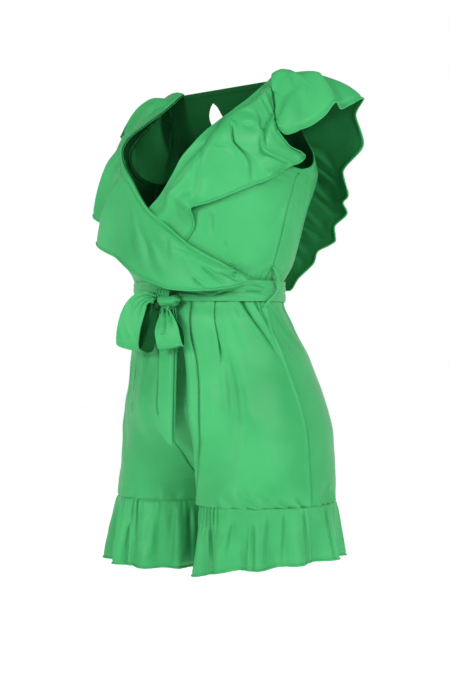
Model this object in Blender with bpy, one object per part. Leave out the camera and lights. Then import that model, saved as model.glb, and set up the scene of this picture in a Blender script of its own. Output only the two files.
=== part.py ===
"""A sleeveless wrap romper with a ruffled V neck, a tie belt and short legs with ruffled hems.

It keeps the form it has when worn. Metres, +Z up. The wearer faces -Y and the wearer's left is +X.
The origin is the middle of the shoulder line, where the garment hangs from its wearer.
"""

import math

import bmesh
import bpy
import numpy as np
from mathutils import Matrix, Vector

# ---------------------------------------------------------------- driving sizes
WALL = 0.0018            # cloth
RIBBON_WALL = 0.0022     # the tie belt is folded double
SEAM_GAP = 0.0003        # between two pieces at a seam
AXIS_Y = -0.043          # waist axis, in front of the shoulder line
RIDGE_Y = 0.0            # shoulder line
NECK_X = 0.117           # neck end of each shoulder
SHOULDER_SLOPE = 0.36    # fall of the shoulder line for each metre outward
ARM_Z = -0.170           # bottom of the armhole
WAIST_Z = -0.391         # waist seam, under the belt
BELT_HEIGHT = 0.037
LEG_Z = -0.780           # seam of the hem ruffles
NAPE_X = -0.046          # the back closing sits a little towards the wearer's right
OVER_OUT = 0.0057        # the over side of the wrap lies this far outside the under side
ARMHOLE_ACROSS = 0.92    # share of the half-width that the fronts reach at the armholes
RUFFLE_OUT = 0.0027      # a ruffle's seam edge above the edge it is sewn to
RUFFLE_CLEAR = 0.007     # the rest of a ruffle above what it lies on
WAIST_WIDTH = 0.152      # half-width of the waist seam
WAIST_DEPTH = 0.121      # half-depth of the waist seam
MEAN_RADIUS = 0.17       # of the body, turns a seam's gap into an angle
BUTTON = {"radius": 0.0055, "thickness": 0.0040, "z": -0.0135}
CARRIER = {"top": -0.349, "fall": 0.070, "width": 0.005, "wall": 0.0016, "clear": 0.0011, "bow": 0.013}

GREEN = (0.062, 0.47, 0.135, 1.0)
GREEN_DEEP = (0.045, 0.40, 0.115, 1.0)


def table(columns, *rows):
    """Named columns of numbers, a row for each section or fold."""
    return dict(zip(columns.split(), np.array(rows, float).T))


# Rounds of the bodice, about the waist axis.
BODICE = table(
    "z half_width front back centre square",
    (-0.395, WAIST_WIDTH, WAIST_DEPTH, WAIST_DEPTH, 0.000, 2.0),
    (-0.372, 0.1524, 0.1222, 0.1213, 0.000, 2.0),
    (-0.360, 0.1575, 0.1315, 0.1245, 0.003, 2.0),
    (-0.340, 0.167, 0.149, 0.127, 0.008, 2.05),
    (-0.300, 0.174, 0.168, 0.125, 0.018, 2.1),
    (-0.245, 0.181, 0.181, 0.125, 0.030, 2.15),
    (-0.170, 0.191, 0.190, 0.134, 0.045, 2.25),
    (-0.120, 0.192, 0.187, 0.137, 0.047, 2.3),
    (0.000, 0.192, 0.187, 0.137, 0.047, 2.3),
)
# How much of its depth the bodice has reached, this far below the shoulder line.
CHEST_SLOPE = table(
    "drop front back",
    (0.000, 0.00, 0.00),
    (0.008, 0.075, 0.035),
    (0.0375, 0.32, 0.135),
    (0.065, 0.57, 0.25),
    (0.092, 0.81, 0.41),
    (0.108, 0.93, 0.54),
    (0.128, 1.00, 0.73),
    (0.170, 1.001, 1.00),
)
# The crossing front edges: half-width of the neck opening, then the wrapped part past the centre.
NECKLINE = table(
    "z under over",
    (-0.395, -0.141, 0.150),
    (-0.372, -0.138, 0.147),
    (-0.3435, -0.124, 0.129),
    (-0.322, -0.104, 0.104),
    (-0.306, -0.083, 0.083),
    (-0.274, -0.048, 0.048),
    (-0.240, 0.000, 0.000),
    (-0.220, 0.025, -0.020),
    (-0.185, 0.050, -0.052),
    (-0.150, 0.070, -0.090),
    (-0.135, 0.083, -0.102),
    (-0.120, 0.095, -0.106),
    (-0.097, 0.104, -0.107),
    (-0.070, 0.108, -0.110),
    (-0.035, 0.113, -0.115),
    (0.000, 0.117, -0.117),
)
# The line down the back that carries each ruffle's other half.
BACK_SEAM = table(
    "z x",
    (-0.366, 0.008),
    (-0.350, 0.015),
    (-0.300, 0.033),
    (-0.250, 0.051),
    (-0.200, 0.068),
    (-0.150, 0.085),
    (-0.100, 0.100),
    (-0.050, 0.112),
    (0.000, 0.117),
)
ARMHOLE = table(
    "z from_side",
    (-0.170, 0.0),
    (-0.163, 9.0),
    (-0.150, 17.0),
    (-0.125, 25.0),
    (-0.090, 30.0),
    (-0.045, 32.0),
    (0.000, 31.5),
)
KEYHOLE = table(
    "z half_width",
    (-0.114, 0.0),
    (-0.109, 0.0065),
    (-0.095, 0.0120),
    (-0.075, 0.0145),
    (-0.055, 0.0122),
    (-0.035, 0.0065),
    (-0.021, 0.0),
)
# Free edge of the ruffles about the waist axis, a row for each ridge and hollow. Station is the
# distance along the seam from the neck end of the shoulder, negative at the front.
SHOULDER_LEFT = (
    (-0.060, 0.208, 0.036, -0.143, 0.012),
    (-0.026, 0.198, -0.006, -0.113, 0.034),
    (0.000, 0.217, 0.022, -0.101, 0.104),
    (0.022, 0.240, 0.050, -0.078, 0.120),
    (0.042, 0.252, 0.072, -0.051, 0.131),
    (0.058, 0.246, 0.092, -0.060, 0.137),
    (0.076, 0.255, 0.112, -0.050, 0.130),
    (0.096, 0.262, 0.137, -0.038, 0.108),
    (0.114, 0.228, 0.155, -0.066, 0.070),
)
SHOULDER_RIGHT = (
    (-0.064, -0.224, 0.018, -0.168, 0.052),
    (-0.042, -0.262, 0.006, -0.070, 0.070),
    (-0.018, -0.250, 0.034, -0.132, 0.085),
    (0.008, -0.238, 0.054, -0.168, 0.105),
    (0.034, -0.224, 0.078, -0.178, 0.105),
    (0.060, -0.240, 0.098, -0.170, 0.095),
    (0.084, -0.220, 0.122, -0.164, 0.085),
    (0.110, -0.240, 0.142, -0.142, 0.070),
)
BACK_FALL = (
    (0.138, 0.236, 0.168, -0.113, 0.045),
    (0.168, 0.176, 0.180, -0.164, 0.030),
    (0.200, 0.186, 0.183, -0.206, 0.030),
    (0.226, 0.168, 0.189, -0.221, 0.022),
    (0.252, 0.170, 0.199, -0.239, 0.025),
    (0.282, 0.143, 0.193, -0.265, 0.018),
    (0.312, 0.145, 0.194, -0.289, 0.020),
    (0.342, 0.108, 0.183, -0.311, 0.012),
    (0.370, 0.103, 0.180, -0.330, 0.014),
    (0.398, 0.077, 0.163, -0.362, 0.008),
    (0.422, 0.058, 0.157, -0.384, 0.008),
    (0.448, 0.016, 0.141, -0.384, 0.004),
)
BACK_FALL_RIGHT = tuple((s, -x, y, z, lift) for s, x, y, z, lift in BACK_FALL)
RUFFLE_LEFT = table(
    "station x y z lift",
    (-0.376, 0.066, -0.146, -0.318, 0.000),
    (-0.360, 0.080, -0.141, -0.303, 0.000),
    (-0.338, 0.095, -0.132, -0.277, 0.004),
    (-0.312, 0.100, -0.146, -0.247, 0.012),
    (-0.275, 0.125, -0.120, -0.235, 0.012),
    (-0.238, 0.153, -0.097, -0.221, 0.014),
    (-0.202, 0.171, -0.064, -0.206, 0.004),
    (-0.168, 0.197, -0.035, -0.190, 0.014),
    (-0.134, 0.200, -0.004, -0.172, 0.004),
    (-0.100, 0.217, 0.020, -0.158, 0.010),
    *SHOULDER_LEFT,
    *BACK_FALL,
)
RUFFLE_RIGHT = table(
    "station x y z lift",
    (-0.572, 0.154, -0.074, -0.383, 0.000),
    (-0.555, 0.151, -0.088, -0.388, 0.000),
    (-0.530, 0.145, -0.105, -0.389, 0.004),
    (-0.490, 0.125, -0.126, -0.391, 0.006),
    (-0.450, 0.098, -0.142, -0.392, 0.006),
    (-0.410, 0.062, -0.158, -0.389, 0.006),
    (-0.375, 0.020, -0.167, -0.376, 0.006),
    (-0.340, -0.025, -0.173, -0.357, 0.008),
    (-0.300, -0.075, -0.166, -0.329, 0.012),
    (-0.256, -0.152, -0.150, -0.297, 0.020),
    (-0.226, -0.158, -0.100, -0.272, 0.008),
    (-0.190, -0.207, -0.113, -0.240, 0.026),
    (-0.156, -0.197, -0.058, -0.210, 0.010),
    (-0.122, -0.222, -0.036, -0.182, 0.020),
    (-0.092, -0.208, 0.002, -0.168, 0.034),
    *SHOULDER_RIGHT,
    *BACK_FALL_RIGHT,
)

# Rounds of the shorts above the legs, about the waist axis.
SHORTS = table(
    "z half_width front back centre",
    (-0.790, 0.226, 0.188, 0.188, 0.047),
    (-0.700, 0.218, 0.189, 0.187, 0.049),
    (-0.650, 0.212, 0.188, 0.187, 0.047),
    (-0.610, 0.203, 0.1825, 0.181, 0.043),
    (-0.560, 0.191, 0.1665, 0.171, 0.034),
    (-0.515, 0.180, 0.155, 0.160, 0.025),
    (-0.470, 0.166, 0.147, 0.145, 0.012),
    (-0.440, 0.160, 0.140, 0.134, 0.005),
    (-0.412, 0.1530, 0.1240, 0.1220, 0.000),
    (WAIST_Z, WAIST_WIDTH, WAIST_DEPTH, WAIST_DEPTH, 0.000),
)
# How far each level has left the one round of the hips for the two rounds of the legs.
PARTING = table(
    "z front back",
    (-0.790, 1.00, 1.00),
    (-0.752, 1.00, 1.00),
    (-0.746, 0.82, 0.80),
    (-0.735, 0.66, 0.60),
    (-0.715, 0.52, 0.44),
    (-0.690, 0.40, 0.32),
    (-0.660, 0.24, 0.20),
    (-0.630, 0.10, 0.09),
    (-0.600, 0.02, 0.02),
    (-0.570, 0.00, 0.00),
)
# Folds pressed or pulled into the shorts: place from centre front in degrees, depth, spread, reach.
SHORTS_FOLDS = table(
    "angle depth spread top bottom drift",
    (15.0, 0.0050, 5.0, -0.400, -0.640, -8.0),
    (27.0, 0.0055, 3.5, -0.398, -0.500, 1.0),
    (42.0, 0.0060, 3.5, -0.398, -0.470, 3.0),
    (62.0, 0.0040, 5.0, -0.400, -0.480, 12.0),
    (118.0, 0.0045, 5.0, -0.398, -0.480, -3.0),
    (140.0, 0.0050, 5.0, -0.398, -0.500, 2.0),
    (160.0, 0.0045, 5.0, -0.398, -0.520, 3.0),
)
LEG = {"x": 0.1140, "y": 0.041, "half_width": 0.1120, "half_depth": 0.139}
# Waves of a hem ruffle round one leg: place from the front in degrees towards the outer side,
# how far the free edge swings out at that place.
HEM_WAVES = table(
    "angle swing fall",
    (-180.0, 0.006, 0.012),
    (-160.0, 0.024, 0.014),
    (-139.0, 0.004, 0.016),
    (-118.0, 0.014, 0.019),
    (-100.0, 0.000, 0.020),
    (-82.0, 0.006, 0.021),
    (-64.0, 0.000, 0.025),
    (-49.0, 0.018, 0.030),
    (-36.0, 0.002, 0.028),
    (-22.0, 0.024, 0.029),
    (-6.0, 0.004, 0.022),
    (8.0, 0.022, 0.016),
    (24.0, -0.002, 0.010),
    (42.0, 0.024, 0.008),
    (57.0, 0.002, 0.004),
    (72.0, 0.023, 0.002),
    (88.0, 0.004, 0.000),
    (106.0, 0.026, 0.000),
    (124.0, 0.004, 0.001),
    (141.0, 0.023, 0.004),
    (160.0, 0.003, 0.008),
    (180.0, 0.006, 0.012),
)
HEM_LEVEL = {"left": 1.0, "right": 0.15}   # how much of that fall each hem takes
HEM_Z = {"left": -0.877, "right": -0.900}
HEM_FLARE = {"left": -0.003, "right": 0.006}
HEM_BEND = {"left": 1.15, "right": 0.75}   # above 1 the ruffle flares late, below 1 early

BODICE_LEVELS = (
    -0.3908, -0.3725, -0.360, -0.342, -0.318, -0.292, -0.264, -0.236, -0.208, -0.186, -0.170,
    -0.163, -0.150, -0.132, -0.112, -0.090, -0.068, -0.046, -0.024, -0.008, -0.0002,
)
SHORTS_LEVELS = (
    -0.3913, -0.404, -0.416, -0.432, -0.455, -0.485, -0.520, -0.560, -0.600, -0.640, -0.675,
    -0.705, -0.728, -0.742, -0.750, -0.7535, -0.765, -0.7798,
)


# ---------------------------------------------------------------- reading the tables
def smooth(at, places, values):
    """Reads a column at a place between its rows, on a curve that never overshoots them."""
    at = np.clip(at, places[0], places[-1])
    step = np.diff(places)
    rise = np.diff(values) / step
    slope = np.zeros(len(places))
    same = rise[1:] * rise[:-1] > 0
    inner = np.zeros(len(places) - 2)
    inner[same] = 2 * rise[1:][same] * rise[:-1][same] / (rise[1:][same] + rise[:-1][same])
    slope[1:-1] = inner
    slope[0], slope[-1] = rise[0], rise[-1]
    i = np.clip(np.searchsorted(places, at, side="right") - 1, 0, len(step) - 1)
    t = (at - places[i]) / step[i]
    return (
        values[i] * (1 + 2 * t) * (1 - t) ** 2
        + slope[i] * step[i] * t * (1 - t) ** 2
        + values[i + 1] * t * t * (3 - 2 * t)
        + slope[i + 1] * step[i] * t * t * (t - 1)
    )


def read(rows, column, at, by="z"):
    return smooth(at, rows[by], rows[column])


def ease(at, start, end):
    """0 before start, 1 after end, and smooth between."""
    t = np.clip((at - start) / (end - start), 0.0, 1.0)
    return t * t * (3 - 2 * t)


def unit(vectors):
    return vectors / np.maximum(np.linalg.norm(vectors, axis=-1, keepdims=True), 1e-12)


def grid_normals(points, ring=False):
    """Unit normals of a grid of points, rows by columns."""
    down = np.gradient(points, axis=0)
    if ring:
        across = (np.roll(points, -1, axis=1) - np.roll(points, 1, axis=1)) / 2
    else:
        across = np.gradient(points, axis=1)
    return unit(np.cross(across, down))


# ---------------------------------------------------------------- the bodice form
def shoulder_height(x):
    return -SHOULDER_SLOPE * np.maximum(np.abs(x) - NECK_X, 0.0)


def bodice_point(angle, level):
    """A place on the bodice. Angle is 0 at centre front, a quarter turn at the wearer's left."""
    square = 2.0 / read(BODICE, "square", level)
    side, front = np.sin(angle), np.cos(angle)
    x = read(BODICE, "half_width", level) * np.sign(side) * np.abs(side) ** square
    depth = np.where(front > 0, read(BODICE, "front", level), -read(BODICE, "back", level))
    reach = read(BODICE, "centre", level) - depth * np.abs(front) ** square + AXIS_Y
    drop = np.clip(-level, 0.0, -ARM_Z)
    share = np.where(
        front > 0,
        smooth(drop, CHEST_SLOPE["drop"], CHEST_SLOPE["front"]),
        smooth(drop, CHEST_SLOPE["drop"], CHEST_SLOPE["back"]),
    )
    y = RIDGE_Y + (reach - RIDGE_Y) * share
    rise = np.clip((level - ARM_Z) / -ARM_Z, 0.0, 1.0)
    z = np.where(level < ARM_Z, level, ARM_Z + (shoulder_height(x) - ARM_Z) * rise)
    return np.stack([x, y, z], axis=-1)


def bodice_normal(angle, level):
    step = 1e-4
    round_it = bodice_point(angle + step, level) - bodice_point(angle - step, level)
    lower = np.minimum(level, -2 * step)
    up = bodice_point(angle, lower + step) - bodice_point(angle, lower - step)
    normal = unit(np.cross(round_it, up))
    at_ridge = ease(level, -0.010, -0.001)[..., None]
    return unit(normal * (1 - at_ridge) + np.array([0.0, 0.0, 1.0]) * at_ridge)


def bodice_angle(x, level, back=False):
    """The angle at which the bodice is this far from its middle."""
    share = np.clip(np.abs(x) / read(BODICE, "half_width", level), 0.0, 1.0)
    angle = np.arcsin(share ** (read(BODICE, "square", level) / 2)) * np.sign(x)
    return np.sign(x) * math.pi - angle if back else angle


def clear_of_bodice(points, clearance, hold=0.0):
    """Moves points out until they are this far outside the bodice form. hold, 0 to 1, also draws
    in what lies further out, so that the cloth stays flat on the form."""
    x, y, z = points[..., 0], points[..., 1], points[..., 2]
    ridge = shoulder_height(x)
    rise = np.clip((z - ARM_Z) / (ridge - ARM_Z), 0.0, 1.0)
    upper = ease(rise, 0.0, 0.2)
    level = np.where(z < ARM_Z, z, ARM_Z * (1 - rise))
    drop = np.clip(-level, 0.0, -ARM_Z)
    front_share = smooth(drop, CHEST_SLOPE["drop"], CHEST_SLOPE["front"])
    back_share = smooth(drop, CHEST_SLOPE["drop"], CHEST_SLOPE["back"])
    centre = read(BODICE, "centre", level) + AXIS_Y
    forward = y < RIDGE_Y + (centre - RIDGE_Y) * front_share
    share = np.where(forward, front_share, back_share)
    middle = RIDGE_Y + (centre - RIDGE_Y) * share
    depth = np.where(forward, read(BODICE, "front", level), read(BODICE, "back", level)) * share
    depth = np.maximum(depth, 0.003)
    square = read(BODICE, "square", level)
    across, along = np.abs(x) / read(BODICE, "half_width", level), np.abs(y - middle) / depth
    reach = np.maximum((across ** square + along ** square) ** (1 / square), 1e-6)
    wanted = 1 + clearance * reach / np.maximum(np.hypot(x, y - middle), 0.02)
    scale = np.where(reach < wanted, wanted / reach, 1.0 + hold * (wanted / reach - 1.0))
    radial = points.copy()
    radial[..., 0], radial[..., 1] = x * scale, middle + (y - middle) * scale
    # Above the armholes the form falls away from the shoulder line, so points move off its slope.
    edge = (1 - np.minimum(across, ARMHOLE_ACROSS) ** square) ** (1 / square)
    forward = y < RIDGE_Y
    full = np.where(forward, read(BODICE, "front", level), -read(BODICE, "back", level))
    run = np.abs(centre - full * edge - RIDGE_Y)
    column = np.where(forward, 0, 1)
    shares = np.stack([smooth(drop, CHEST_SLOPE["drop"], CHEST_SLOPE[k]) for k in ("front", "back")])
    later = np.stack(
        [smooth(drop + 0.004, CHEST_SLOPE["drop"], CHEST_SLOPE[k]) for k in ("front", "back")]
    )
    share = np.take_along_axis(shares, column[None], axis=0)[0]
    fall = run * (np.take_along_axis(later, column[None], axis=0)[0] - share) / 0.004
    out_y, out_z = 1 / np.hypot(1.0, fall), fall / np.hypot(1.0, fall)
    inside = (run * share - np.abs(y - RIDGE_Y)) * out_y - np.maximum(z - ridge, 0.0) * out_z
    push = np.maximum(inside + clearance, 0.0) * ease(-across, -1.10, -1.0)
    sloped = points.copy()
    sloped[..., 1] = y + np.where(forward, -1.0, 1.0) * push * out_y
    sloped[..., 2] = z + push * out_z
    return radial * (1 - upper[..., None]) + sloped * upper[..., None]


# ---------------------------------------------------------------- objects
def material(name, colour):
    made = bpy.data.materials.new(name)
    made.use_nodes = True
    shader = made.node_tree.nodes["Principled BSDF"]
    shader.inputs["Base Color"].default_value = colour
    shader.inputs["Roughness"].default_value = 0.55
    shader.inputs["Metallic"].default_value = 0.0
    return made


def add_object(name, mesh, colour):
    mesh.shade_smooth()
    mesh.set_sharp_from_angle(angle=math.radians(50))
    mesh.materials.append(material(name, colour))
    made = bpy.data.objects.new(name, mesh)
    bpy.context.scene.collection.objects.link(made)
    return made


def two_triangles(mesh_data, corners, turn, first_diagonal):
    """Fills a four-cornered patch, split along the same diagonal on both sides of a wall."""
    a, b, c, d = corners
    halves = ((a, b, c), (a, c, d)) if first_diagonal else ((a, b, d), (b, c, d))
    for half in halves:
        mesh_data.faces.new(half[::turn])


def cloth_wall(name, points, normals=None, ring=False, keep_side=0, colour=GREEN, wall=WALL):
    """A closed wall about a grid of points. keep_side holds it on one side of the middle plane."""
    if normals is None:
        normals = grid_normals(points, ring)
    rows, columns = points.shape[:2]
    mesh_data = bmesh.new()
    layers = []
    for layer in (points + normals * wall / 2, points - normals * wall / 2):
        if keep_side:
            layer[..., 0] = keep_side * np.maximum(keep_side * layer[..., 0], SEAM_GAP / 2)
        layers.append([[mesh_data.verts.new(p) for p in row] for row in layer])
    last = columns if ring else columns - 1
    for i in range(rows - 1):
        for j in range(last):
            k = (j + 1) % columns
            first = points[i + 1, k] - points[i, j]
            second = points[i + 1, j] - points[i, k]
            first_diagonal = first @ first < second @ second
            for layer, turn in zip(layers, (1, -1)):
                corners = (layer[i][j], layer[i][k], layer[i + 1][k], layer[i + 1][j])
                two_triangles(mesh_data, corners, turn, first_diagonal)
    for j in range(last):
        k = (j + 1) % columns
        for i, turn in ((0, -1), (rows - 1, 1)):
            rim = (layers[0][i][j], layers[0][i][k], layers[1][i][k], layers[1][i][j])
            mesh_data.faces.new(rim[::turn])
    for i in range(0 if ring else rows - 1):
        for j, turn in ((0, 1), (columns - 1, -1)):
            rim = (layers[0][i][j], layers[0][i + 1][j], layers[1][i + 1][j], layers[1][i][j])
            mesh_data.faces.new(rim[::turn])
    bmesh.ops.recalc_face_normals(mesh_data, faces=mesh_data.faces)
    mesh = bpy.data.meshes.new(name)
    mesh_data.to_mesh(mesh)
    mesh_data.free()
    return add_object(name, mesh, colour)


# ---------------------------------------------------------------- bodice panels
def side_edge(level, side, back):
    """Angle of a panel's outer edge: the side seam, then the armhole above it."""
    from_side = np.where(level > ARM_Z, read(ARMHOLE, "from_side", level), 0.0)
    inset = math.degrees(SEAM_GAP / 2 / MEAN_RADIUS)
    turn = 90.0 + from_side + inset if back else 90.0 - from_side - inset
    return side * np.radians(turn)


def panel(name, inner_edge, outer_edge, columns, out=None, colour=GREEN):
    levels = np.array(BODICE_LEVELS)
    across = np.linspace(0.0, 1.0, columns)[None, :]
    angle = inner_edge(levels)[:, None] * (1 - across) + outer_edge(levels)[:, None] * across
    level = levels[:, None] + 0 * across
    normals = bodice_normal(angle, level)
    points = bodice_point(angle, level)
    if out is not None:
        points = points + normals * out(angle, level)[..., None]
    return cloth_wall(name, points, normals, colour=colour)


def over_out(angle, level):
    """The over side rises off the under side, and comes back to the form at its own seams."""
    off_side_seam = ease(np.degrees(angle), -89.0, -62.0)
    off_shoulder = ease(-level, 0.012, 0.110)
    at_waist = 1 - 0.43 * ease(-level, 0.315, 0.360)
    return OVER_OUT * off_side_seam * off_shoulder * at_waist


def back_inner_edge(side):
    def edge(levels):
        lean = NAPE_X * (1 - ease(-levels, 0.02, 0.30))
        opening = read(KEYHOLE, "half_width", levels)
        opening = np.where((levels < -0.114) | (levels > -0.021), 0.0, opening)
        x = lean + side * (opening + SEAM_GAP / 2)
        angle = bodice_angle(np.abs(x), levels, back=True)
        signed = np.where(x > 0, angle, 2 * math.pi - angle)
        return signed if side > 0 else signed - 2 * math.pi
    return edge


def make_bodice():
    panel(
        "bodice_front_right",
        lambda level: bodice_angle(read(NECKLINE, "over", level), level),
        lambda level: side_edge(level, -1, back=False),
        15,
        out=over_out,
    )
    panel(
        "bodice_front_left",
        lambda level: bodice_angle(read(NECKLINE, "under", level), level),
        lambda level: side_edge(level, 1, back=False),
        15,
        colour=GREEN_DEEP,
    )
    for name, side in (("bodice_back_left", 1), ("bodice_back_right", -1)):
        panel(
            name,
            back_inner_edge(side),
            lambda level, side=side: side_edge(level, side, back=True),
            9,
            colour=GREEN_DEEP,
        )


# ---------------------------------------------------------------- neck ruffles
def seam_path(column, first_z):
    """The seam of one neck ruffle, at even steps, and its normals: front edge, then down the back."""
    down_front = np.linspace(first_z, -0.001, 160)
    down_back = np.linspace(-0.001, BACK_SEAM["z"][0], 160)
    side = 1.0 if column == "under" else -1.0
    front_angle = bodice_angle(read(NECKLINE, column, down_front), down_front)
    back_angle = side * bodice_angle(read(BACK_SEAM, "x", down_back), down_back, back=True)
    level = np.concatenate([down_front, down_back])
    angle = np.concatenate([front_angle, back_angle])
    points, normals = bodice_point(angle, level), bodice_normal(angle, level)
    if column == "over":
        rise = np.concatenate([over_out(front_angle, down_front), 0 * down_back])
        points = points + normals * rise[:, None]
    length = np.concatenate([[0], np.cumsum(np.linalg.norm(np.diff(points, axis=0), axis=1))])
    station = length - length[len(down_front)]
    return station, points, normals


def pick(station, place, values):
    return np.stack([np.interp(place, station, values[:, k]) for k in range(3)], axis=-1)


def ruffle_points(column, folds, places, widths, first_z):
    """Grid of one neck ruffle: from the seam, a falling curve to the free edge of the fold table."""
    station, seam, seam_normal = seam_path(column, first_z)
    start = pick(station, places, seam)
    normal = unit(pick(station, places, seam_normal))
    start = start + normal * RUFFLE_OUT
    free = np.stack([smooth(places, folds["station"], folds[k]) for k in "xyz"], axis=-1)
    free[:, 1] += AXIS_Y
    lift = smooth(places, folds["station"], folds["lift"])[:, None]
    on_shoulder = ease(places, -0.090, -0.020) * (1 - ease(places, 0.090, 0.190))
    risen = unit(normal * (1 - on_shoulder)[:, None] + np.array([0, 0, 1.0]) * on_shoulder[:, None])
    middle = (start + free) / 2 + risen * lift
    w = widths[:, None, None]
    grid = start * (1 - w) ** 2 + 2 * middle * w * (1 - w) + free * w * w
    if column == "over":
        hold = 0.0
        clearance = OVER_OUT + RUFFLE_OUT + RUFFLE_CLEAR * ease(widths, 0.0, 0.25)[:, None]
    else:
        hold = 1 - ease(places, -0.345, -0.318)[None, :]
        clearance = RUFFLE_OUT + RUFFLE_CLEAR * ease(widths, 0.0, 0.25)[:, None] * (1 - hold)
    over_belt = ease(-grid[..., 2], 0.350, 0.372) * (widths[:, None] > 0.2)
    clearance = clearance + RUFFLE_CLEAR * over_belt
    cleared = clear_of_bodice(grid, clearance, hold)
    taken = np.maximum(ease(widths, 0.0, 0.12)[:, None] + 0 * places, hold)[..., None]
    return cleared * taken + grid * (1 - taken)


def fold_places(folds, between):
    """Stations at each row of a fold table and evenly between the rows."""
    rows = folds["station"]
    parts = [np.linspace(a, b, between + 1)[:-1] for a, b in zip(rows[:-1], rows[1:])]
    return np.concatenate([*parts, rows[-1:]])


def make_neck_ruffles():
    widths = np.array([0.0, 0.09, 0.24, 0.43, 0.68, 1.0])
    for name, column, folds, first_z in (
        ("ruffle_right", "over", RUFFLE_RIGHT, -0.369),
        ("ruffle_left", "under", RUFFLE_LEFT, -0.262),
    ):
        grid = ruffle_points(column, folds, fold_places(folds, 3), widths, first_z)
        cloth_wall(name, grid)


# ---------------------------------------------------------------- shorts
def shorts_folds(turn, level):
    """Inward grooves of the pleats and drags, by place round the waist and by height."""
    depth = 0 * turn
    for k in range(len(SHORTS_FOLDS["angle"])):
        fold = {name: values[k] for name, values in SHORTS_FOLDS.items()}
        way_down = ease(-level, -fold["top"], -fold["bottom"])
        centre = fold["angle"] + fold["drift"] * way_down
        spread = fold["spread"] * (1 + 1.4 * way_down)
        across = np.exp(-(((turn - centre) / spread) ** 2))
        fade = ease(-level, 0.396, 0.425) * (1 - way_down)
        depth = depth + fold["depth"] * across * fade
    return depth


def shorts_grid(side, back, columns):
    levels = np.array(SHORTS_LEVELS)[:, None]
    across = np.linspace(0.0, 1.0, columns)[None, :]
    level = levels + 0 * across
    inset = math.degrees(SEAM_GAP / 2 / MEAN_RADIUS)
    quarter = 90.0 - inset
    half = 180.0 - 2 * inset
    turn = quarter * (1 - across) + 0 * level
    leg_turn = quarter - half * across + 0 * level
    if back:
        turn, leg_turn = 180.0 - turn, 180.0 - leg_turn
    depth = read(SHORTS, "back" if back else "front", level) * (-1 if back else 1)
    hips = np.stack(
        [
            read(SHORTS, "half_width", level) * np.sin(np.radians(turn)),
            read(SHORTS, "centre", level) - depth * np.abs(np.cos(np.radians(turn))),
        ],
        axis=-1,
    )
    leg = np.stack(
        [
            LEG["x"] + LEG["half_width"] * np.sin(np.radians(leg_turn)),
            LEG["y"] - LEG["half_depth"] * np.cos(np.radians(leg_turn)),
        ],
        axis=-1,
    )
    part = read(PARTING, "back" if back else "front", level)[..., None]
    flat = hips * (1 - part) + leg * part
    outward = unit(flat - np.array([0.0, 0.02]))
    flat = flat - outward * (shorts_folds(turn, level) * (1 - part[..., 0]))[..., None]
    grid = np.stack([side * flat[..., 0], flat[..., 1] + AXIS_Y, level], axis=-1)
    return grid


def make_shorts():
    for side_name, side in (("left", 1), ("right", -1)):
        for part_name, back, columns in (("front", False, 17), ("back", True, 11)):
            grid = shorts_grid(side, back, columns)
            cloth_wall(f"shorts_{part_name}_{side_name}", grid, keep_side=side)


def hem_ruffle_grid(side_name, columns, widths):
    side = {"left": 1, "right": -1}[side_name]
    turn = np.linspace(-180.0, 180.0, columns + 1)[:-1][None, :]
    w = widths[:, None]
    swing = smooth(turn, HEM_WAVES["angle"], HEM_WAVES["swing"])
    fall = smooth(turn, HEM_WAVES["angle"], HEM_WAVES["fall"])
    flare = (HEM_FLARE[side_name] + swing) * w ** HEM_BEND[side_name]
    around = np.radians(turn)
    x = LEG["x"] + (LEG["half_width"] + 0.001 * (w > 0) + flare) * np.sin(around)
    y = LEG["y"] - (LEG["half_depth"] + flare) * np.cos(around)
    nearest = WALL / 2 + SEAM_GAP + 0.0012 + 0.010 * w
    x = nearest + np.logaddexp(0.0, (x - nearest) / 0.0015) * 0.0015
    top = LEG_Z - SEAM_GAP
    z = top + (HEM_Z[side_name] - top - fall * HEM_LEVEL[side_name]) * w
    return np.stack([side * x, y + AXIS_Y, z], axis=-1)


def make_hem_ruffles():
    widths = np.array([0.0, 0.12, 0.38, 0.68, 1.0])
    for side_name in ("left", "right"):
        cloth_wall(f"hem_ruffle_{side_name}", hem_ruffle_grid(side_name, 60, widths), ring=True)


# ---------------------------------------------------------------- belt
def belt_point(angle, height, out):
    """Round the waist. Height is from the waist seam, out is from the waist's own round."""
    z = WAIST_Z + height + 0 * angle
    half_width, depth = WAIST_WIDTH + out, WAIST_DEPTH + out
    return np.stack([half_width * np.sin(angle), AXIS_Y - depth * np.cos(angle), z], axis=-1)


def belt_out(angle):
    """The belt lies over both fronts in front and to the sides, and closer at the back."""
    return 0.0030 + 0.0030 * ease(np.cos(angle), -0.35, 0.10)


def make_belt_band():
    angle = np.linspace(0.0, 2 * math.pi, 41)[:-1][None, :]
    heights = BELT_HEIGHT * np.array([-0.5, -0.28, 0.0, 0.24, 0.5])[:, None]
    creases = np.array([0.0002, 0.0020, 0.0004, 0.0022, 0.0008])[:, None]
    wander = 0.0006 * np.sin(3 * angle + 9 * heights / BELT_HEIGHT)
    grid = belt_point(angle, heights, belt_out(angle) + creases + np.maximum(wander, 0.0))
    cloth_wall("belt_band", grid, ring=True)


KNOT = {
    "x": 0.0360, "y": -0.1384, "z": -0.4095, "turn": 12.0,
    "width": 0.043, "height": 0.018, "depth": 0.0235, "taper": 0.45,
}


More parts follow.
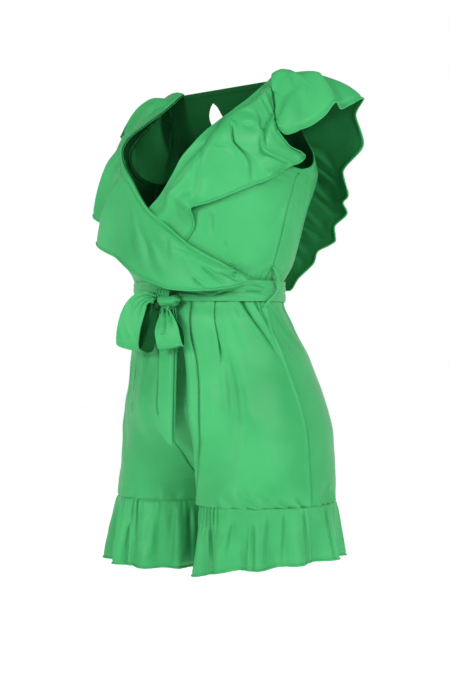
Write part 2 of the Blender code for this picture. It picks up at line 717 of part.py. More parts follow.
def make_knot():
    mesh_data = bmesh.new()
    bmesh.ops.create_cube(mesh_data, size=1.0)
    bmesh.ops.subdivide_edges(mesh_data, edges=mesh_data.edges[:], cuts=3, use_grid_fill=True)
    size = Vector((KNOT["width"], KNOT["depth"], KNOT["height"]))
    place = Vector((KNOT["x"], KNOT["y"] + AXIS_Y, KNOT["z"]))
    turn = Matrix.Rotation(math.radians(KNOT["turn"]), 3, "Z")
    for vert in mesh_data.verts:
        rounded = vert.co.lerp(vert.co.normalized() * 0.62, 0.42)
        rounded.x *= 1 + KNOT["taper"] * min(rounded.z, 0.25)
        vert.co = place + turn @ (rounded * size)
    mesh = bpy.data.meshes.new("bow_knot")
    mesh_data.to_mesh(mesh)
    mesh_data.free()
    return add_object("bow_knot", mesh, GREEN)


# Middle line of each loop, about the waist axis: from the knot, over a bend, to the far turn. The
# returning half lies behind, moved by back.
BOW_LOOPS = {
    "bow_loop_right": {
        "start": (0.0097, -0.1450, -0.4070),
        "bend": (-0.0280, -0.1550, -0.3830),
        "tip": (-0.0420, -0.1660, -0.4930),
        "back": (0.0260, 0.0, -0.0130),
        "face": (0.35, -1.0, 0.0),
        "depth": 0.026,
        "width": 0.048,
        "gathered": 0.36,
    },
    "bow_loop_left": {
        "start": (0.0385, -0.1465, -0.4234),
        "bend": (0.0540, -0.1600, -0.4430),
        "tip": (0.0625, -0.1560, -0.4935),
        "back": (0.0, 0.0, -0.0030),
        "face": (0.45, -1.0, 0.0),
        "depth": 0.020,
        "width": 0.047,
        "gathered": 0.30,
    },
}


def loop_grid(loop, steps, shares):
    """A loop of belt cloth: out along its middle line in front, round, and back behind."""
    shift = np.array([0.0, AXIS_Y, 0.0])
    start, bend, tip = (np.array(loop[k]) + shift for k in ("start", "bend", "tip"))
    t = np.linspace(-1.0, 1.0, steps)
    out = (np.cos(t * math.pi / 2) ** 0.8)[:, None]
    line = start * (1 - out) ** 2 + 2 * bend * out * (1 - out) + tip * out * out
    ahead = unit(2 * (bend - start) * (1 - out) + 2 * (tip - bend) * out)
    face = unit(np.array(loop["face"]))
    face = unit(face - ahead * (ahead @ face)[:, None])
    across = np.cross(ahead, face)
    apart = np.sin(t * math.pi) * 0.5 + 0.13 * np.sign(t) * ease(np.abs(t), 0.5, 1.0)
    line = line - face * (apart * loop["depth"])[:, None]
    returning = ease(t, -0.1, 0.25) * (1 - ease(t, 0.7, 1.0))
    line = line + np.array(loop["back"]) * returning[:, None]
    width = loop["width"] * (loop["gathered"] + (1 - loop["gathered"]) * ease(out, 0.0, 0.75))
    return line[None] + (across * width)[None] * shares[:, None, None]


def make_bow_loops():
    shares = np.array([-0.5, -0.2, 0.2, 0.5])
    for name, loop in BOW_LOOPS.items():
        cloth_wall(name, loop_grid(loop, 17, shares), wall=RIBBON_WALL)


# Tails hang from the knot: a row for each height, about the waist axis.
TAIL_FRONT = table(
    "z x y turn width",
    (-0.659, 0.0355, -0.1455, 8.6, 0.0310),
    (-0.600, 0.0330, -0.1430, 9.0, 0.0320),
    (-0.520, 0.0310, -0.1395, 9.5, 0.0335),
    (-0.460, 0.0320, -0.1380, 10.0, 0.0330),
    (-0.432, 0.0355, -0.1380, 11.0, 0.0240),
    (-0.4197, 0.0370, -0.1385, 12.0, 0.0180),
)
TAIL_BACK = table(
    "z x y turn width",
    (-0.652, 0.0370, -0.1410, 8.6, 0.0310),
    (-0.600, 0.0355, -0.1388, 9.0, 0.0320),
    (-0.520, 0.0345, -0.1353, 9.5, 0.0335),
    (-0.460, 0.0350, -0.1338, 10.0, 0.0330),
    (-0.432, 0.0365, -0.1338, 11.0, 0.0240),
    (-0.4197, 0.0375, -0.1343, 12.0, 0.0180),
)
TAIL_SLANT = 0.029       # the cut end of a tail runs this much lower at one corner


def tail_grid(rows, steps, shares):
    z = rows["z"]
    height = np.linspace(z[0], z[-1], steps)
    turn = np.radians(read(rows, "turn", height))
    x, y = read(rows, "x", height), read(rows, "y", height) + AXIS_Y
    width = read(rows, "width", height)
    shares = shares[:, None]
    end = ease(-height, -z[2], -z[0])[None, :]
    return np.stack(
        [
            x + shares * width * np.cos(turn),
            y + shares * width * np.sin(turn),
            height - shares * TAIL_SLANT * end,
        ],
        axis=-1,
    )


def make_tails():
    shares = np.array([-0.5, -0.2, 0.2, 0.5])
    for name, rows in (("belt_tail_front", TAIL_FRONT), ("belt_tail_back", TAIL_BACK)):
        cloth_wall(name, tail_grid(rows, 12, shares), wall=RIBBON_WALL)


# How far from the middle the cloth lies under a carrier.
CARRIER_ROOT = table(
    "z out",
    (-0.419, 0.1542),
    (-0.391, 0.1539),
    (-0.349, 0.1628),
)


def make_carriers():
    """Narrow loops over the belt at the side seams, standing a little off it."""
    steps = np.linspace(0.0, 1.0, 11)
    for name, side in (("belt_carrier_left", 1), ("belt_carrier_right", -1)):
        height = CARRIER["top"] - CARRIER["fall"] * steps
        bow = np.sin(steps * math.pi) ** 0.7
        out = read(CARRIER_ROOT, "out", height) + WALL / 2 + CARRIER["clear"] + CARRIER["bow"] * bow
        centre = np.stack([side * out, AXIS_Y + 0.002 + 0 * out, height], axis=-1)
        across = np.tile(np.array([0.0, 1.0, 0.0]), (len(steps), 1))
        shares = np.array([-0.5, 0.5])[:, None, None]
        grid = centre[None] + across[None] * CARRIER["width"] * shares
        cloth_wall(name, grid, wall=CARRIER["wall"])


def make_neck_button():
    radius, thickness = BUTTON["radius"], BUTTON["thickness"]
    mesh_data = bmesh.new()
    bmesh.ops.create_cone(
        mesh_data, cap_ends=True, segments=20, radius1=radius, radius2=radius * 0.72, depth=thickness
    )
    level = np.array([BUTTON["z"]])
    angle = np.array([2 * math.pi - bodice_angle(np.array([-NAPE_X]), level, back=True)[0]])
    place, normal = bodice_point(angle, level)[0], bodice_normal(angle, level)[0]
    mesh = bpy.data.meshes.new("neck_button")
    mesh_data.to_mesh(mesh)
    mesh_data.free()
    made = add_object("neck_button", mesh, GREEN)
    made.location = place + normal * (WALL / 2 + SEAM_GAP + thickness / 2)
    made.rotation_euler = (math.atan2(-normal[1], normal[2]), 0.0, 0.0)
    return made


def main():
    for old in list(bpy.data.objects):
        bpy.data.objects.remove(old, do_unlink=True)
    make_bodice()
    make_neck_ruffles()
    make_shorts()
    make_hem_ruffles()
    make_belt_band()
    make_knot()
    make_bow_loops()
    make_tails()
    make_carriers()
    make_neck_button()


main()
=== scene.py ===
"""The green wrap romper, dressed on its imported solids: cloth shells, hems, seams and stitches.

Metres, +Z up. The wearer faces -Y and the wearer's left is +X. The shoulder line lies at y = 0.
The tables and the form are the solids' own, so that each shell lies where its solid is. Tables
are in millimetres and degrees.
"""

import math

import bpy
import numpy as np
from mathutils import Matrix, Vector


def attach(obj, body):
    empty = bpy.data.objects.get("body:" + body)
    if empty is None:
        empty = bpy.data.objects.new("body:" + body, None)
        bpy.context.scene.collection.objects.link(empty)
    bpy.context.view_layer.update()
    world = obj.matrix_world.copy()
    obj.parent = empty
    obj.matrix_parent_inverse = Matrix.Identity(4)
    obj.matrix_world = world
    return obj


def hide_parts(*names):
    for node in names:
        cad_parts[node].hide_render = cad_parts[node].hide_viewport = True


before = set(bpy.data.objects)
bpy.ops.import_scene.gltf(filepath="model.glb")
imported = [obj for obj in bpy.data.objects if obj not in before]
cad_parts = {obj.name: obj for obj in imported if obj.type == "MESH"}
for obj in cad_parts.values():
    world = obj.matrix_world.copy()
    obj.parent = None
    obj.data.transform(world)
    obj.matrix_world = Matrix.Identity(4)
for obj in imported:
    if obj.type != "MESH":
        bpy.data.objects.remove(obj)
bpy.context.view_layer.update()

# ---------------------------------------------------------------- driving sizes
WALL = 0.0018            # cloth of the solids
SEAM_GAP = 0.0003        # between two pieces at a seam
AXIS_Y = -0.043          # waist axis, in front of the shoulder line
NECK_X = 0.117           # neck end of each shoulder
SHOULDER_SLOPE = 0.36    # fall of the shoulder line for each metre outward
ARM_Z = -0.170           # bottom of the armhole
WAIST_Z = -0.391         # waist seam, under the belt
BODICE_FOOT, BODICE_TOP = -0.3908, -0.0002
SHORTS_TOP, SHORTS_FOOT = -0.3913, -0.7798
BELT_HEIGHT = 0.037
LEG_Z = -0.780           # seam of the hem ruffles
NAPE_X = -0.046          # the back closing sits a little towards the wearer's right
OVER_OUT = 0.0057        # the over side of the wrap lies this far outside the under side
ARMHOLE_ACROSS = 0.92    # share of the half-width that the fronts reach at the armholes
RUFFLE_OUT = 0.0027      # a ruffle's seam edge above the edge it is sewn to
RUFFLE_CLEAR = 0.007     # the rest of a ruffle above what it lies on
NECK_RUFFLE = 0.12       # usual width of a neck ruffle, turns a share of it into metres
HEM_RUFFLE = 0.11        # the same for a hem ruffle
PANEL = 0.25             # usual width of a shorts panel
MEAN_RADIUS = 0.17       # of the body, turns an angle into metres
BELT_RADIUS = 0.14       # the same for the belt
BACK_LAP = 0.005         # turn by which each half back reaches over the centre seam
HEM_LAP = 0.0012         # by which a hem ruffle reaches up into the seam of the leg
BUTTON = {"radius": 0.0055, "thickness": 0.0040, "z": -0.0135}
CARRIER = {"top": -0.349, "fall": 0.070, "clear": 0.0011, "bow": 0.013}
LEG = {"x": 0.1140, "y": 0.041, "half_width": 0.1120, "half_depth": 0.139}
KNOT = {
    "x": 0.0360, "y": -0.1384, "z": -0.4095, "turn": 12.0,
    "width": 0.043, "height": 0.018, "depth": 0.0235, "taper": 0.45,
}
# Each leg's ruffle: level of its free edge, how much of the waves' fall it takes, how far it
# flares, and its bend: above 1 it flares late, below 1 early.
HEMS = {
    "left": {"side": 1, "z": -0.877, "fall": 1.0, "flare": -0.003, "bend": 1.15, "seed": 21},
    "right": {"side": -1, "z": -0.900, "fall": 0.15, "flare": 0.006, "bend": 0.75, "seed": 22},
}
# Middle line of each loop, about the waist axis: from the knot, over a bend, to the far turn. The
# returning half lies behind, moved by back.
BOW_LOOPS = {
    "bow_loop_right": {
        "start": (0.0097, -0.1450, -0.4070), "bend": (-0.0280, -0.1550, -0.3830),
        "tip": (-0.0420, -0.1660, -0.4930), "back": (0.0260, 0.0, -0.0130),
        "face": (0.35, -1.0, 0.0), "depth": 0.026, "width": 0.048, "gathered": 0.36,
    },
    "bow_loop_left": {
        "start": (0.0385, -0.1465, -0.4234), "bend": (0.0540, -0.1600, -0.4430),
        "tip": (0.0625, -0.1560, -0.4935), "back": (0.0, 0.0, -0.0030),
        "face": (0.45, -1.0, 0.0), "depth": 0.020, "width": 0.047, "gathered": 0.30,
    },
}
TAIL_SLANT = 0.029       # the cut end of a tail runs this much lower at one corner

SIDES = (("left", 1), ("right", -1))
UP = np.array([0.0, 0.0, 1.0])
FRONT = np.array([0.0, -1.0, 0.0])
DEGREE = math.pi / 180
FULL_TURN = 2 * math.pi

# ---------------------------------------------------------------- tables
TURN = SHARE = 1.0       # units of a table's column: degrees and shares as they are
MM = 1000.0              # millimetres to the metre
CREASE = ("a0", "b0", "a1", "b1", "depth", "width", "bend", "lead")


def table(columns, *rows):
    """Named columns, a row for each section or fold, in millimetres. A column that is marked with
    a star holds degrees or shares."""
    values = zip(columns.split(), np.array(rows, float).T)
    return {name.strip("*"): v if "*" in name else v / MM for name, v in values}


def crease_table(units, usual, *rows):
    """Creases, each from a0, b0 to a1, b1, then depth and width in millimetres, bend and lead.
    A row that ends after the width has the usual bend and lead."""
    full = [row if len(row) == len(CREASE) else (*row, *usual) for row in rows]
    return dict(zip(CREASE, (np.array(full, float) / (*units, *units, MM, MM, 1.0, 1.0)).T))


# Rounds of the bodice, about the waist axis.
BODICE = table(
    "z half_width front back centre square*",
    (-395, 152, 121, 121, 0, 2), (-372, 152.4, 122.2, 121.3, 0, 2),
    (-360, 157.5, 131.5, 124.5, 3, 2), (-340, 167, 149, 127, 8, 2.05),
    (-300, 174, 168, 125, 18, 2.1), (-245, 181, 181, 125, 30, 2.15),
    (-170, 191, 190, 134, 45, 2.25), (-120, 192, 187, 137, 47, 2.3), (0, 192, 187, 137, 47, 2.3),
)
WAIST_WIDTH, WAIST_DEPTH = BODICE["half_width"][0], BODICE["front"][0]
# How much of its depth the bodice has reached, this far below the shoulder line.
CHEST_SLOPE = table(
    "drop front* back*",
    (0, 0, 0), (8, 0.075, 0.035), (37.5, 0.32, 0.135), (65, 0.57, 0.25), (92, 0.81, 0.41),
    (108, 0.93, 0.54), (128, 1, 0.73), (170, 1.001, 1),
)
# The crossing front edges: half-width of the neck opening, then the wrapped part past the centre.
NECKLINE = table(
    "z under over",
    (-395, -141, 150), (-372, -138, 147), (-343.5, -124, 129), (-322, -104, 104), (-306, -83, 83),
    (-274, -48, 48), (-240, 0, 0), (-220, 25, -20), (-185, 50, -52), (-150, 70, -90),
    (-135, 83, -102), (-120, 95, -106), (-97, 104, -107), (-70, 108, -110), (-35, 113, -115),
    (0, 117, -117),
)
# The line down the back that carries each ruffle's other half.
BACK_SEAM = table(
    "z x",
    (-366, 8), (-350, 15), (-300, 33), (-250, 51), (-200, 68), (-150, 85), (-100, 100), (-50, 112),
    (0, 117),
)
ARMHOLE = table(
    "z from_side*",
    (-170, 0), (-163, 9), (-150, 17), (-125, 25), (-90, 30), (-45, 32), (0, 31.5),
)
KEYHOLE = table(
    "z half_width",
    (-114, 0), (-109, 8.5), (-95, 17), (-75, 21.5), (-55, 20.5), (-40, 16), (-29, 9.5), (-21, 0),
)
# Where the side seams lie, round the waist: a little in front of the sides.
SIDE_SEAM = table(
    "z turn*",
    (-790, 88), (-760, 87.6), (-698, 86.6), (-622, 88.2), (-584, 88.4), (-550, 87.6), (-518, 86.8),
    (-486, 87), (-456, 85.6), (-415, 86.8), (-391, 87), (-340, 87), (-192, 87.4), (-170, 90),
)
# Free edge of the ruffles about the waist axis, a row for each ridge and hollow. Station is the
# distance along the seam from the neck end of the shoulder, negative at the front.
FREE_EDGE = "station x y z lift"
BACK_FALL = (
    (138, 236, 168, -113, 45), (168, 176, 180, -164, 30), (200, 186, 183, -206, 30),
    (226, 168, 189, -221, 22), (252, 170, 199, -239, 25), (282, 143, 193, -265, 18),
    (312, 145, 194, -289, 20), (342, 108, 183, -311, 12), (370, 103, 180, -330, 14),
    (398, 77, 163, -362, 8), (422, 58, 157, -384, 8), (448, 16, 141, -384, 4),
)
RUFFLE_LEFT = table(
    FREE_EDGE,
    (-376, 66, -146, -318, 0), (-360, 80, -141, -303, 0), (-338, 95, -132, -277, 4),
    (-312, 100, -146, -247, 12), (-275, 125, -120, -235, 12), (-238, 153, -97, -221, 14),
    (-202, 171, -64, -206, 4), (-168, 197, -35, -190, 14), (-134, 200, -4, -172, 4),
    (-100, 217, 20, -158, 10), (-60, 208, 36, -143, 12), (-26, 198, -6, -113, 34),
    (0, 217, 22, -101, 104), (22, 240, 50, -78, 120), (42, 252, 72, -51, 131),
    (58, 246, 92, -60, 137), (76, 255, 112, -50, 130), (96, 262, 137, -38, 108),
    (114, 228, 155, -66, 70),
    *BACK_FALL,
)
RUFFLE_RIGHT = table(
    FREE_EDGE,
    (-572, 158, -58, -374.5, 0), (-555, 156, -74, -381.5, 0), (-530, 149, -98, -387, 4),
    (-490, 125, -126, -391, 6), (-450, 98, -142, -392, 6), (-410, 62, -158, -389, 6),
    (-375, 20, -167, -376, 6), (-340, -25, -173, -357, 8), (-300, -75, -166, -329, 12),
    (-256, -152, -150, -297, 20), (-226, -158, -100, -272, 8), (-190, -207, -113, -240, 26),
    (-156, -197, -58, -210, 10), (-122, -222, -36, -182, 20), (-92, -208, 2, -168, 34),
    (-64, -224, 18, -168, 52), (-42, -262, 6, -70, 70), (-18, -250, 34, -132, 85),
    (8, -238, 54, -168, 105), (34, -224, 78, -178, 105), (60, -240, 98, -170, 95),
    (84, -220, 122, -164, 85), (110, -240, 142, -142, 70),
    *((s, -x, y, z, lift) for s, x, y, z, lift in BACK_FALL),
)
# The over neck edge is a turned band: how far its surface stands out, by distance from the edge.
NECK_BAND = table(
    "distance out",
    (0, -0.4), (2, 1.2), (5, 1.4), (7.8, 0.6), (9.2, -1.2), (10.8, -0.6), (15, 0.4), (21, 0),
)
# The left ruffle laps over itself on the shoulder: where the crisp edge of the lap lies.
LAP = table(
    "width* station",
    (0, -4), (0.2, -8), (0.35, -10.5), (0.48, -16.5), (0.82, -19.5), (1, -18.5),
)
# Rounds of the shorts above the legs, about the waist axis.
SHORTS = table(
    "z half_width front back centre",
    (-790, 226, 188, 188, 47), (-700, 218, 189, 187, 49), (-650, 212, 188, 187, 47),
    (-610, 203, 182.5, 181, 43), (-560, 191, 166.5, 171, 34), (-515, 180, 155, 160, 25),
    (-470, 166, 147, 145, 12), (-440, 160, 140, 134, 5), (-412, 153, 124, 122, 0),
    (-391, 152, 121, 121, 0),
)
# How far each level has left the one round of the hips for the two rounds of the legs.
PARTING = table(
    "z front* back*",
    (-790, 1, 1), (-752, 1, 1), (-746, 0.82, 0.8), (-735, 0.66, 0.6), (-715, 0.52, 0.44),
    (-690, 0.4, 0.32), (-660, 0.24, 0.2), (-630, 0.1, 0.09), (-600, 0.02, 0.02), (-570, 0, 0),
)
# Folds pressed or pulled into the shorts: place from centre front, depth, spread, reach.
SHORTS_FOLDS = table(
    "angle* depth spread* top bottom drift*",
    (15, 5, 5, -400, -640, -8), (27, 5.5, 3.5, -398, -500, 1), (42, 6, 3.5, -398, -470, 3),
    (62, 4, 5, -400, -480, 12), (118, 4.5, 5, -398, -480, -3), (140, 5, 5, -398, -500, 2),
    (160, 4.5, 5, -398, -520, 3),
)
# Waves of a hem ruffle round one leg: place from the front towards the outer side, how far the
# free edge swings out there, and how far it falls short of the lowest level.
HEM_WAVES = table(
    "angle* swing fall",
    (-180, 6, 12), (-160, 24, 14), (-139, 4, 16), (-118, 14, 19), (-100, 0, 20), (-82, 6, 21),
    (-64, 0, 25), (-49, 18, 30), (-36, 2, 28), (-22, 24, 29), (-6, 4, 22), (8, 22, 16),
    (24, -2, 10), (42, 24, 8), (57, 2, 4), (72, 23, 2), (88, 4, 0), (106, 26, 0), (124, 4, 1),
    (141, 23, 4), (160, 3, 8), (180, 6, 12),
)
# Tails hang from the knot: a row for each height, about the waist axis.
TAIL_FRONT = table(
    "z x y turn* width",
    (-659, 35.5, -145.5, 8.6, 31), (-600, 33, -143, 9, 32), (-520, 31, -139.5, 9.5, 33.5),
    (-460, 32, -138, 10, 33), (-432, 35.5, -138, 11, 24), (-419.7, 37, -138.5, 12, 18),
)
TAIL_BACK = table(
    "z x y turn* width",
    (-652, 37, -141, 8.6, 31), (-600, 35.5, -138.8, 9, 32), (-520, 34.5, -135.3, 9.5, 33.5),
    (-460, 35, -133.8, 10, 33), (-432, 36.5, -133.8, 11, 24), (-419.7, 37.5, -134.3, 12, 18),
)
# How far from the middle the cloth lies under a carrier.
CARRIER_ROOT = table(
    "z out",
    (-419, 154.2), (-391, 153.9), (-349, 162.8),
)
# How far the belt's surface stands out, by share of its height.
BELT_FOLDS = table(
    "height* out",
    (-0.5, -0.6), (-0.46, 0.4), (-0.3, 2.4), (-0.12, 1), (-0.06, -0.4), (0.02, 1.6), (0.2, 2.6),
    (0.3, 0.6), (0.36, 1.4), (0.5, 0.8),
)

# Creases of the bodice: a is the place round the body, b the height.
FRONT_LEFT_CREASES = crease_table(
    (TURN, MM), (0, 0),
    (70, -166.5, 87, -172, 3.4, -3.4, 0.04, 0.2), (73, -179, 89, -183, 3, -3.2, -0.03, 0.2),
    (71, -189, 88, -198, 2, -4, 0.03, 0.3), (39, -248, 40.5, -308, 4.5, 7, 0.02, 0.2),
    (49, -260, 47, -330, 1.6, 7, 0.02, 0.3), (48, -301, 52.5, -332, 2.2, 3.5, 0, 0.2),
    (53, -342, 52, -305, 2.2, 3.4, 0.02, 0), (56.5, -354, 54, -324, 3, 2.8),
    (62, -364, 60, -332, 2.4, 3.4), (67, -372, 66, -338, 2.2, 3), (71, -378, 70, -350, 2.4, 2.6),
    (75, -380, 76, -354, 2.2, 2.6), (80, -380, 80, -356, 2.6, 2.8), (85, -380, 86, -350, 2.2, 3),
    (86, -210, 74, -310, 1.4, 8, 0.05, 0.3), (89, -330, 70, -346, 2, 5, 0.05, 0.1),
)
FRONT_RIGHT_CREASES = crease_table(
    (TURN, MM), (0, 0),
    (-72, -170, -88, -176, 3, 3.4, 0.04, 0.2), (-74, -183, -89, -188, 2.4, 3.4, 0, 0.2),
    (-60, -380, -59, -345, 2.8, 3.4), (-66, -380, -66, -350, 2.4, 3),
    (-73, -380, -74, -348, 2.8, 3.2), (-80, -380, -80, -354, 2.2, 2.8),
    (-87, -380, -88, -344, 2.6, 3.4), (-48, -380, -46, -356, 2.4, 3.4),
    (-34, -380, -33, -362, 2, 3), (-86, -220, -72, -320, 1.8, 8, 0.05, 0.3),
)
BACK_CREASES = crease_table(
    (TURN, MM), (0, 0),
    (93, -180, 112, -250, 2.6, 5, 0.05, 0.2), (92, -205, 104, -300, 1.8, 6, 0.03, 0.3),
    (97, -380, 98, -344, 2.6, 3), (103, -380, 104, -350, 2.4, 3), (111, -380, 110, -330, 2.8, 3.4),
    (119, -380, 120, -348, 2.2, 2.8), (127, -380, 126, -338, 2.6, 3.2),
    (136, -380, 137, -350, 2.4, 3), (146, -380, 147, -342, 2.8, 3.6),
    (157, -380, 156, -350, 2.2, 3), (168, -380, 169, -340, 2.6, 3.4),
    (150, -260, 146, -340, 1.6, 9, 0.05, 0.3), (165, -130, 158, -260, 1.4, 10, 0.05, 0.3),
)
# Creases of the neck ruffles: a is the station along the seam, b the share of the width.
UNDER_CREASES = crease_table(
    (MM, SHARE), (0.02, 0.1),
    (-208, 0.2, -240, 0.33, 2.6, 4, 0.05, 0.2), (-230, 0.28, -308, 1, 3, 4.8),
    (-190, 0.3, -172, 0.48, 2.6, 3.6, 0.04, 0.2), (-146, 0.38, -203, 1.06, 6, 4.4, 0.03, 0.1),
    (-144, 0.33, -130, 0.48, 3, 3.4, 0, 0.2), (-128, 0.5, -106, 0.58, 2.6, -3, 0, 0.2),
    (-94, 0.42, -119, 1.3, 4, 4.6, 0.04, 0.2), (-64, 0.35, -60, 0.9, 2.2, 6, 0.03, 0.2),
    (-300, 0.14, 100, 0.25, 6.6, 9, 0, 0.3), (-150, 0.23, 30, 0.33, 4, 6, 0.02, 0.2),
    (-33, 0.25, -42, 1, 3.4, 6, 0, 0.2), (6, 0.4, 12, 1.5, 3, 10, 0, 0.2),
    (22, 0.25, 30, 0.9, 3, 6, 0.03, 0.2), (52, 0.3, 50, 0.95, 2.6, 5.6, 0, 0.2),
    (90, 0.15, 100, 0.7, 3, 6, 0.03, 0.2), (154, 0.05, 184, 0.8, 3.4, 5),
    (184, 0.05, 222, 0.9, 3, 4.6, 0.03, 0.1), (214, 0.05, 242, 0.7, 3.4, 5, 0, 0.1),
    (240, 0.05, 278, 0.95, 2.8, 4.6), (268, 0.05, 298, 0.75, 3.4, 5, 0.03, 0.1),
    (298, 0.05, 336, 0.9, 3, 4.6, 0, 0.1), (328, 0.05, 358, 0.8, 3.2, 5),
    (356, 0.05, 394, 0.9, 2.8, 4.4, 0.03, 0.1), (386, 0.05, 416, 0.8, 3, 4.8, 0, 0.1),
    (414, 0.05, 452, 0.9, 2.6, 4.4),
)
OVER_CREASES = crease_table(
    (MM, SHARE), (0.03, 0.1),
    (-496, 0.44, -534, 0.96, 4, 4.6), (-462, 0.76, -486, 1.02, 3.6, 5, 0.03, 0.2),
    (-530, 0.5, -556, 0.88, 3.4, -3.6, 0.03, 0.2), (-566, 0.42, -548, 0.76, 3.6, 3.2, 0, 0),
    (-430, 0.15, -410, 0.62, 2, 8, 0.04, 0.3), (-325, 0.25, -348, 0.98, 4, 10, 0.03, 0.2),
    (-370, 0.35, -386, 0.98, 2.2, 9, 0.02, 0.3), (-256, 0.12, -240, 0.9, 3.4, 6),
    (-215, 0.1, -206, 0.9, 3.4, 5.6, 0.02, 0.1), (-176, 0.1, -172, 0.9, 4, 5.6),
    (-134, 0.1, -138, 0.9, 3.6, 5, 0, 0.1), (-86, 0.2, -90, 0.9, 3.6, 6),
    (-45, 0.24, -57, 1.6, 8.5, 3.8, 0, 0.1), (22, 0.2, 30, 0.9, 3.4, 6, 0.03, 0.2),
    (64, 0.2, 58, 0.9, 3, 5.6, 0, 0.2), (100, 0.15, 106, 0.8, 3, 5.6, 0.03, 0.2),
    (154, 0.05, 184, 0.8, 3.4, 5, 0.02, 0.1), (184, 0.05, 224, 0.9, 3, 4.6),
    (216, 0.05, 244, 0.7, 3.4, 5, 0, 0.1), (242, 0.05, 280, 0.95, 2.8, 4.6, 0.02, 0.1),
    (270, 0.05, 300, 0.75, 3.4, 5), (300, 0.05, 340, 0.9, 3, 4.6, 0, 0.1),
    (330, 0.05, 360, 0.8, 3.2, 5, 0.02, 0.1), (358, 0.05, 398, 0.9, 2.8, 4.4),
    (388, 0.05, 418, 0.8, 3, 4.8, 0, 0.1), (416, 0.05, 454, 0.9, 2.6, 4.4, 0.02, 0.1),
)
# Creases and lapping folds of the shorts: a is the place round the waist, b the height.
SHORTS_LEFT_CREASES = crease_table(
    (TURN, MM), (0.02, 0),
    (44, -490, 43, -760, 3.6, -12, 0.03, 0.3), (45.5, -480, 44, -760, 4, 10, 0.03, 0.2),
    (15, -430, 21, -1000, 20, 17, 0, 0.2), (61, -406, 82, -520, 6.6, -4.2, 0.05, 0),
    (74, -406, 87, -490, 5, -3.6, 0.03, 0), (79.5, -408, 83, -456, 4.6, -2.6, 0, 0),
    (66, -408, 72, -490, 1.4, 6, 0.03, 0), (52, -408, 56, -520, 1.6, 8, 0.03, 0),
    (36, -560, 40, -740, 1.6, 11, 0.04, 0.3), (50, -600, 62, -750, 1.6, 11, 0.04, 0.3),
    (74, -782, 60, -744, 5.5, 4.6, 0.04, 0), (79, -782, 70, -758, 4.9, 3.8),
    (69, -782, 52, -736, 5.2, 5, 0.04, 0), (62, -782, 55, -764, 4.3, 3.6),
    (55, -782, 45, -750, 2.9, 5, 0.04, 0), (84, -782, 80, -756, 4.9, 3.6),
    (47, -782, 40, -760, 2.3, 4), (95, -782, 94, -740, 4.1, 5), (99, -782, 97, -730, 3.8, 5),
    (104, -782, 103, -744, 3.8, 4.6), (111, -782, 109, -750, 3.5, 5),
    (93, -428, 112, -520, 2.4, 6, 0.04, 0.1), (92, -460, 104, -560, 1.6, 7, 0.04, 0.2),
    (118, -408, 119, -490, 3.6, 3, 0, 0), (140, -408, 141, -530, 4, 3, 0, 0),
    (160, -408, 161, -520, 3.4, 3.2, 0, 0), (128, -782, 125, -748, 3.2, 5, 0.03, 0),
    (142, -782, 140, -754, 3.2, 5, 0.03, 0), (156, -782, 153, -744, 3.2, 5, 0.03, 0),
)
SHORTS_LEFT_LAPS = crease_table(
    (TURN, MM), (0, 0),
    (39.2, -406, 41.6, -540, 9.5, 3.6), (29.6, -406, 33, -1150, 8.5, -4.6),
    (62, -406, 83, -530, 4, 2.8, 0.05, 0),
)
SHORTS_RIGHT_CREASES = crease_table(
    (TURN, MM), (0, 0),
    (14, -408, 13, -620, 3.4, 5), (6, -500, 7, -720, 3.4, 11, 0.02, 0.3),
    (28, -408, 26, -600, 4, -4), (33, -470, 31, -660, 2, 8, 0.02, 0.3),
    (43, -408, 42, -530, 4.4, 3), (62, -408, 79, -510, 3.4, -4.4, 0.05, 0),
    (24, -616, 29, -590, 2, 2.4, 0.04, 0.2), (38, -570, 44, -740, 1.8, 11, 0.04, 0.3),
    (58, -580, 66, -750, 1.8, 11, 0.04, 0.3), (22, -782, 20, -756, 1.6, 4, 0.02, 0),
    (30, -782, 29, -748, 1.8, 4.6, 0.02, 0), (44, -782, 40, -756, 1.8, 4.4, 0.02, 0),
    (57, -782, 52, -744, 2.2, 5, 0.03, 0), (68, -782, 62, -750, 2.2, 5, 0.03, 0),
    (78, -782, 72, -744, 2.2, 5, 0.03, 0), (98, -782, 97, -740, 2.6, 5, 0.02, 0),
    (108, -782, 106, -746, 2.4, 5, 0.02, 0), (94, -428, 111, -520, 2.4, -6, 0.04, 0.1),
    (118, -408, 118, -500, 3.6, 3), (140, -408, 139, -520, 4, 3), (160, -408, 159, -530, 3.4, 3.2),
    (126, -782, 124, -750, 2.2, 5, 0.03, 0), (144, -782, 141, -746, 2.2, 5, 0.03, 0),
    (157, -782, 155, -752, 2.2, 5, 0.03, 0),
)
SHORTS_RIGHT_LAPS = crease_table(
    (TURN, MM), (0, 0),
    (29, -406, 27, -600, 5, -3.6), (44, -406, 43, -560, 6, 3.4),
)
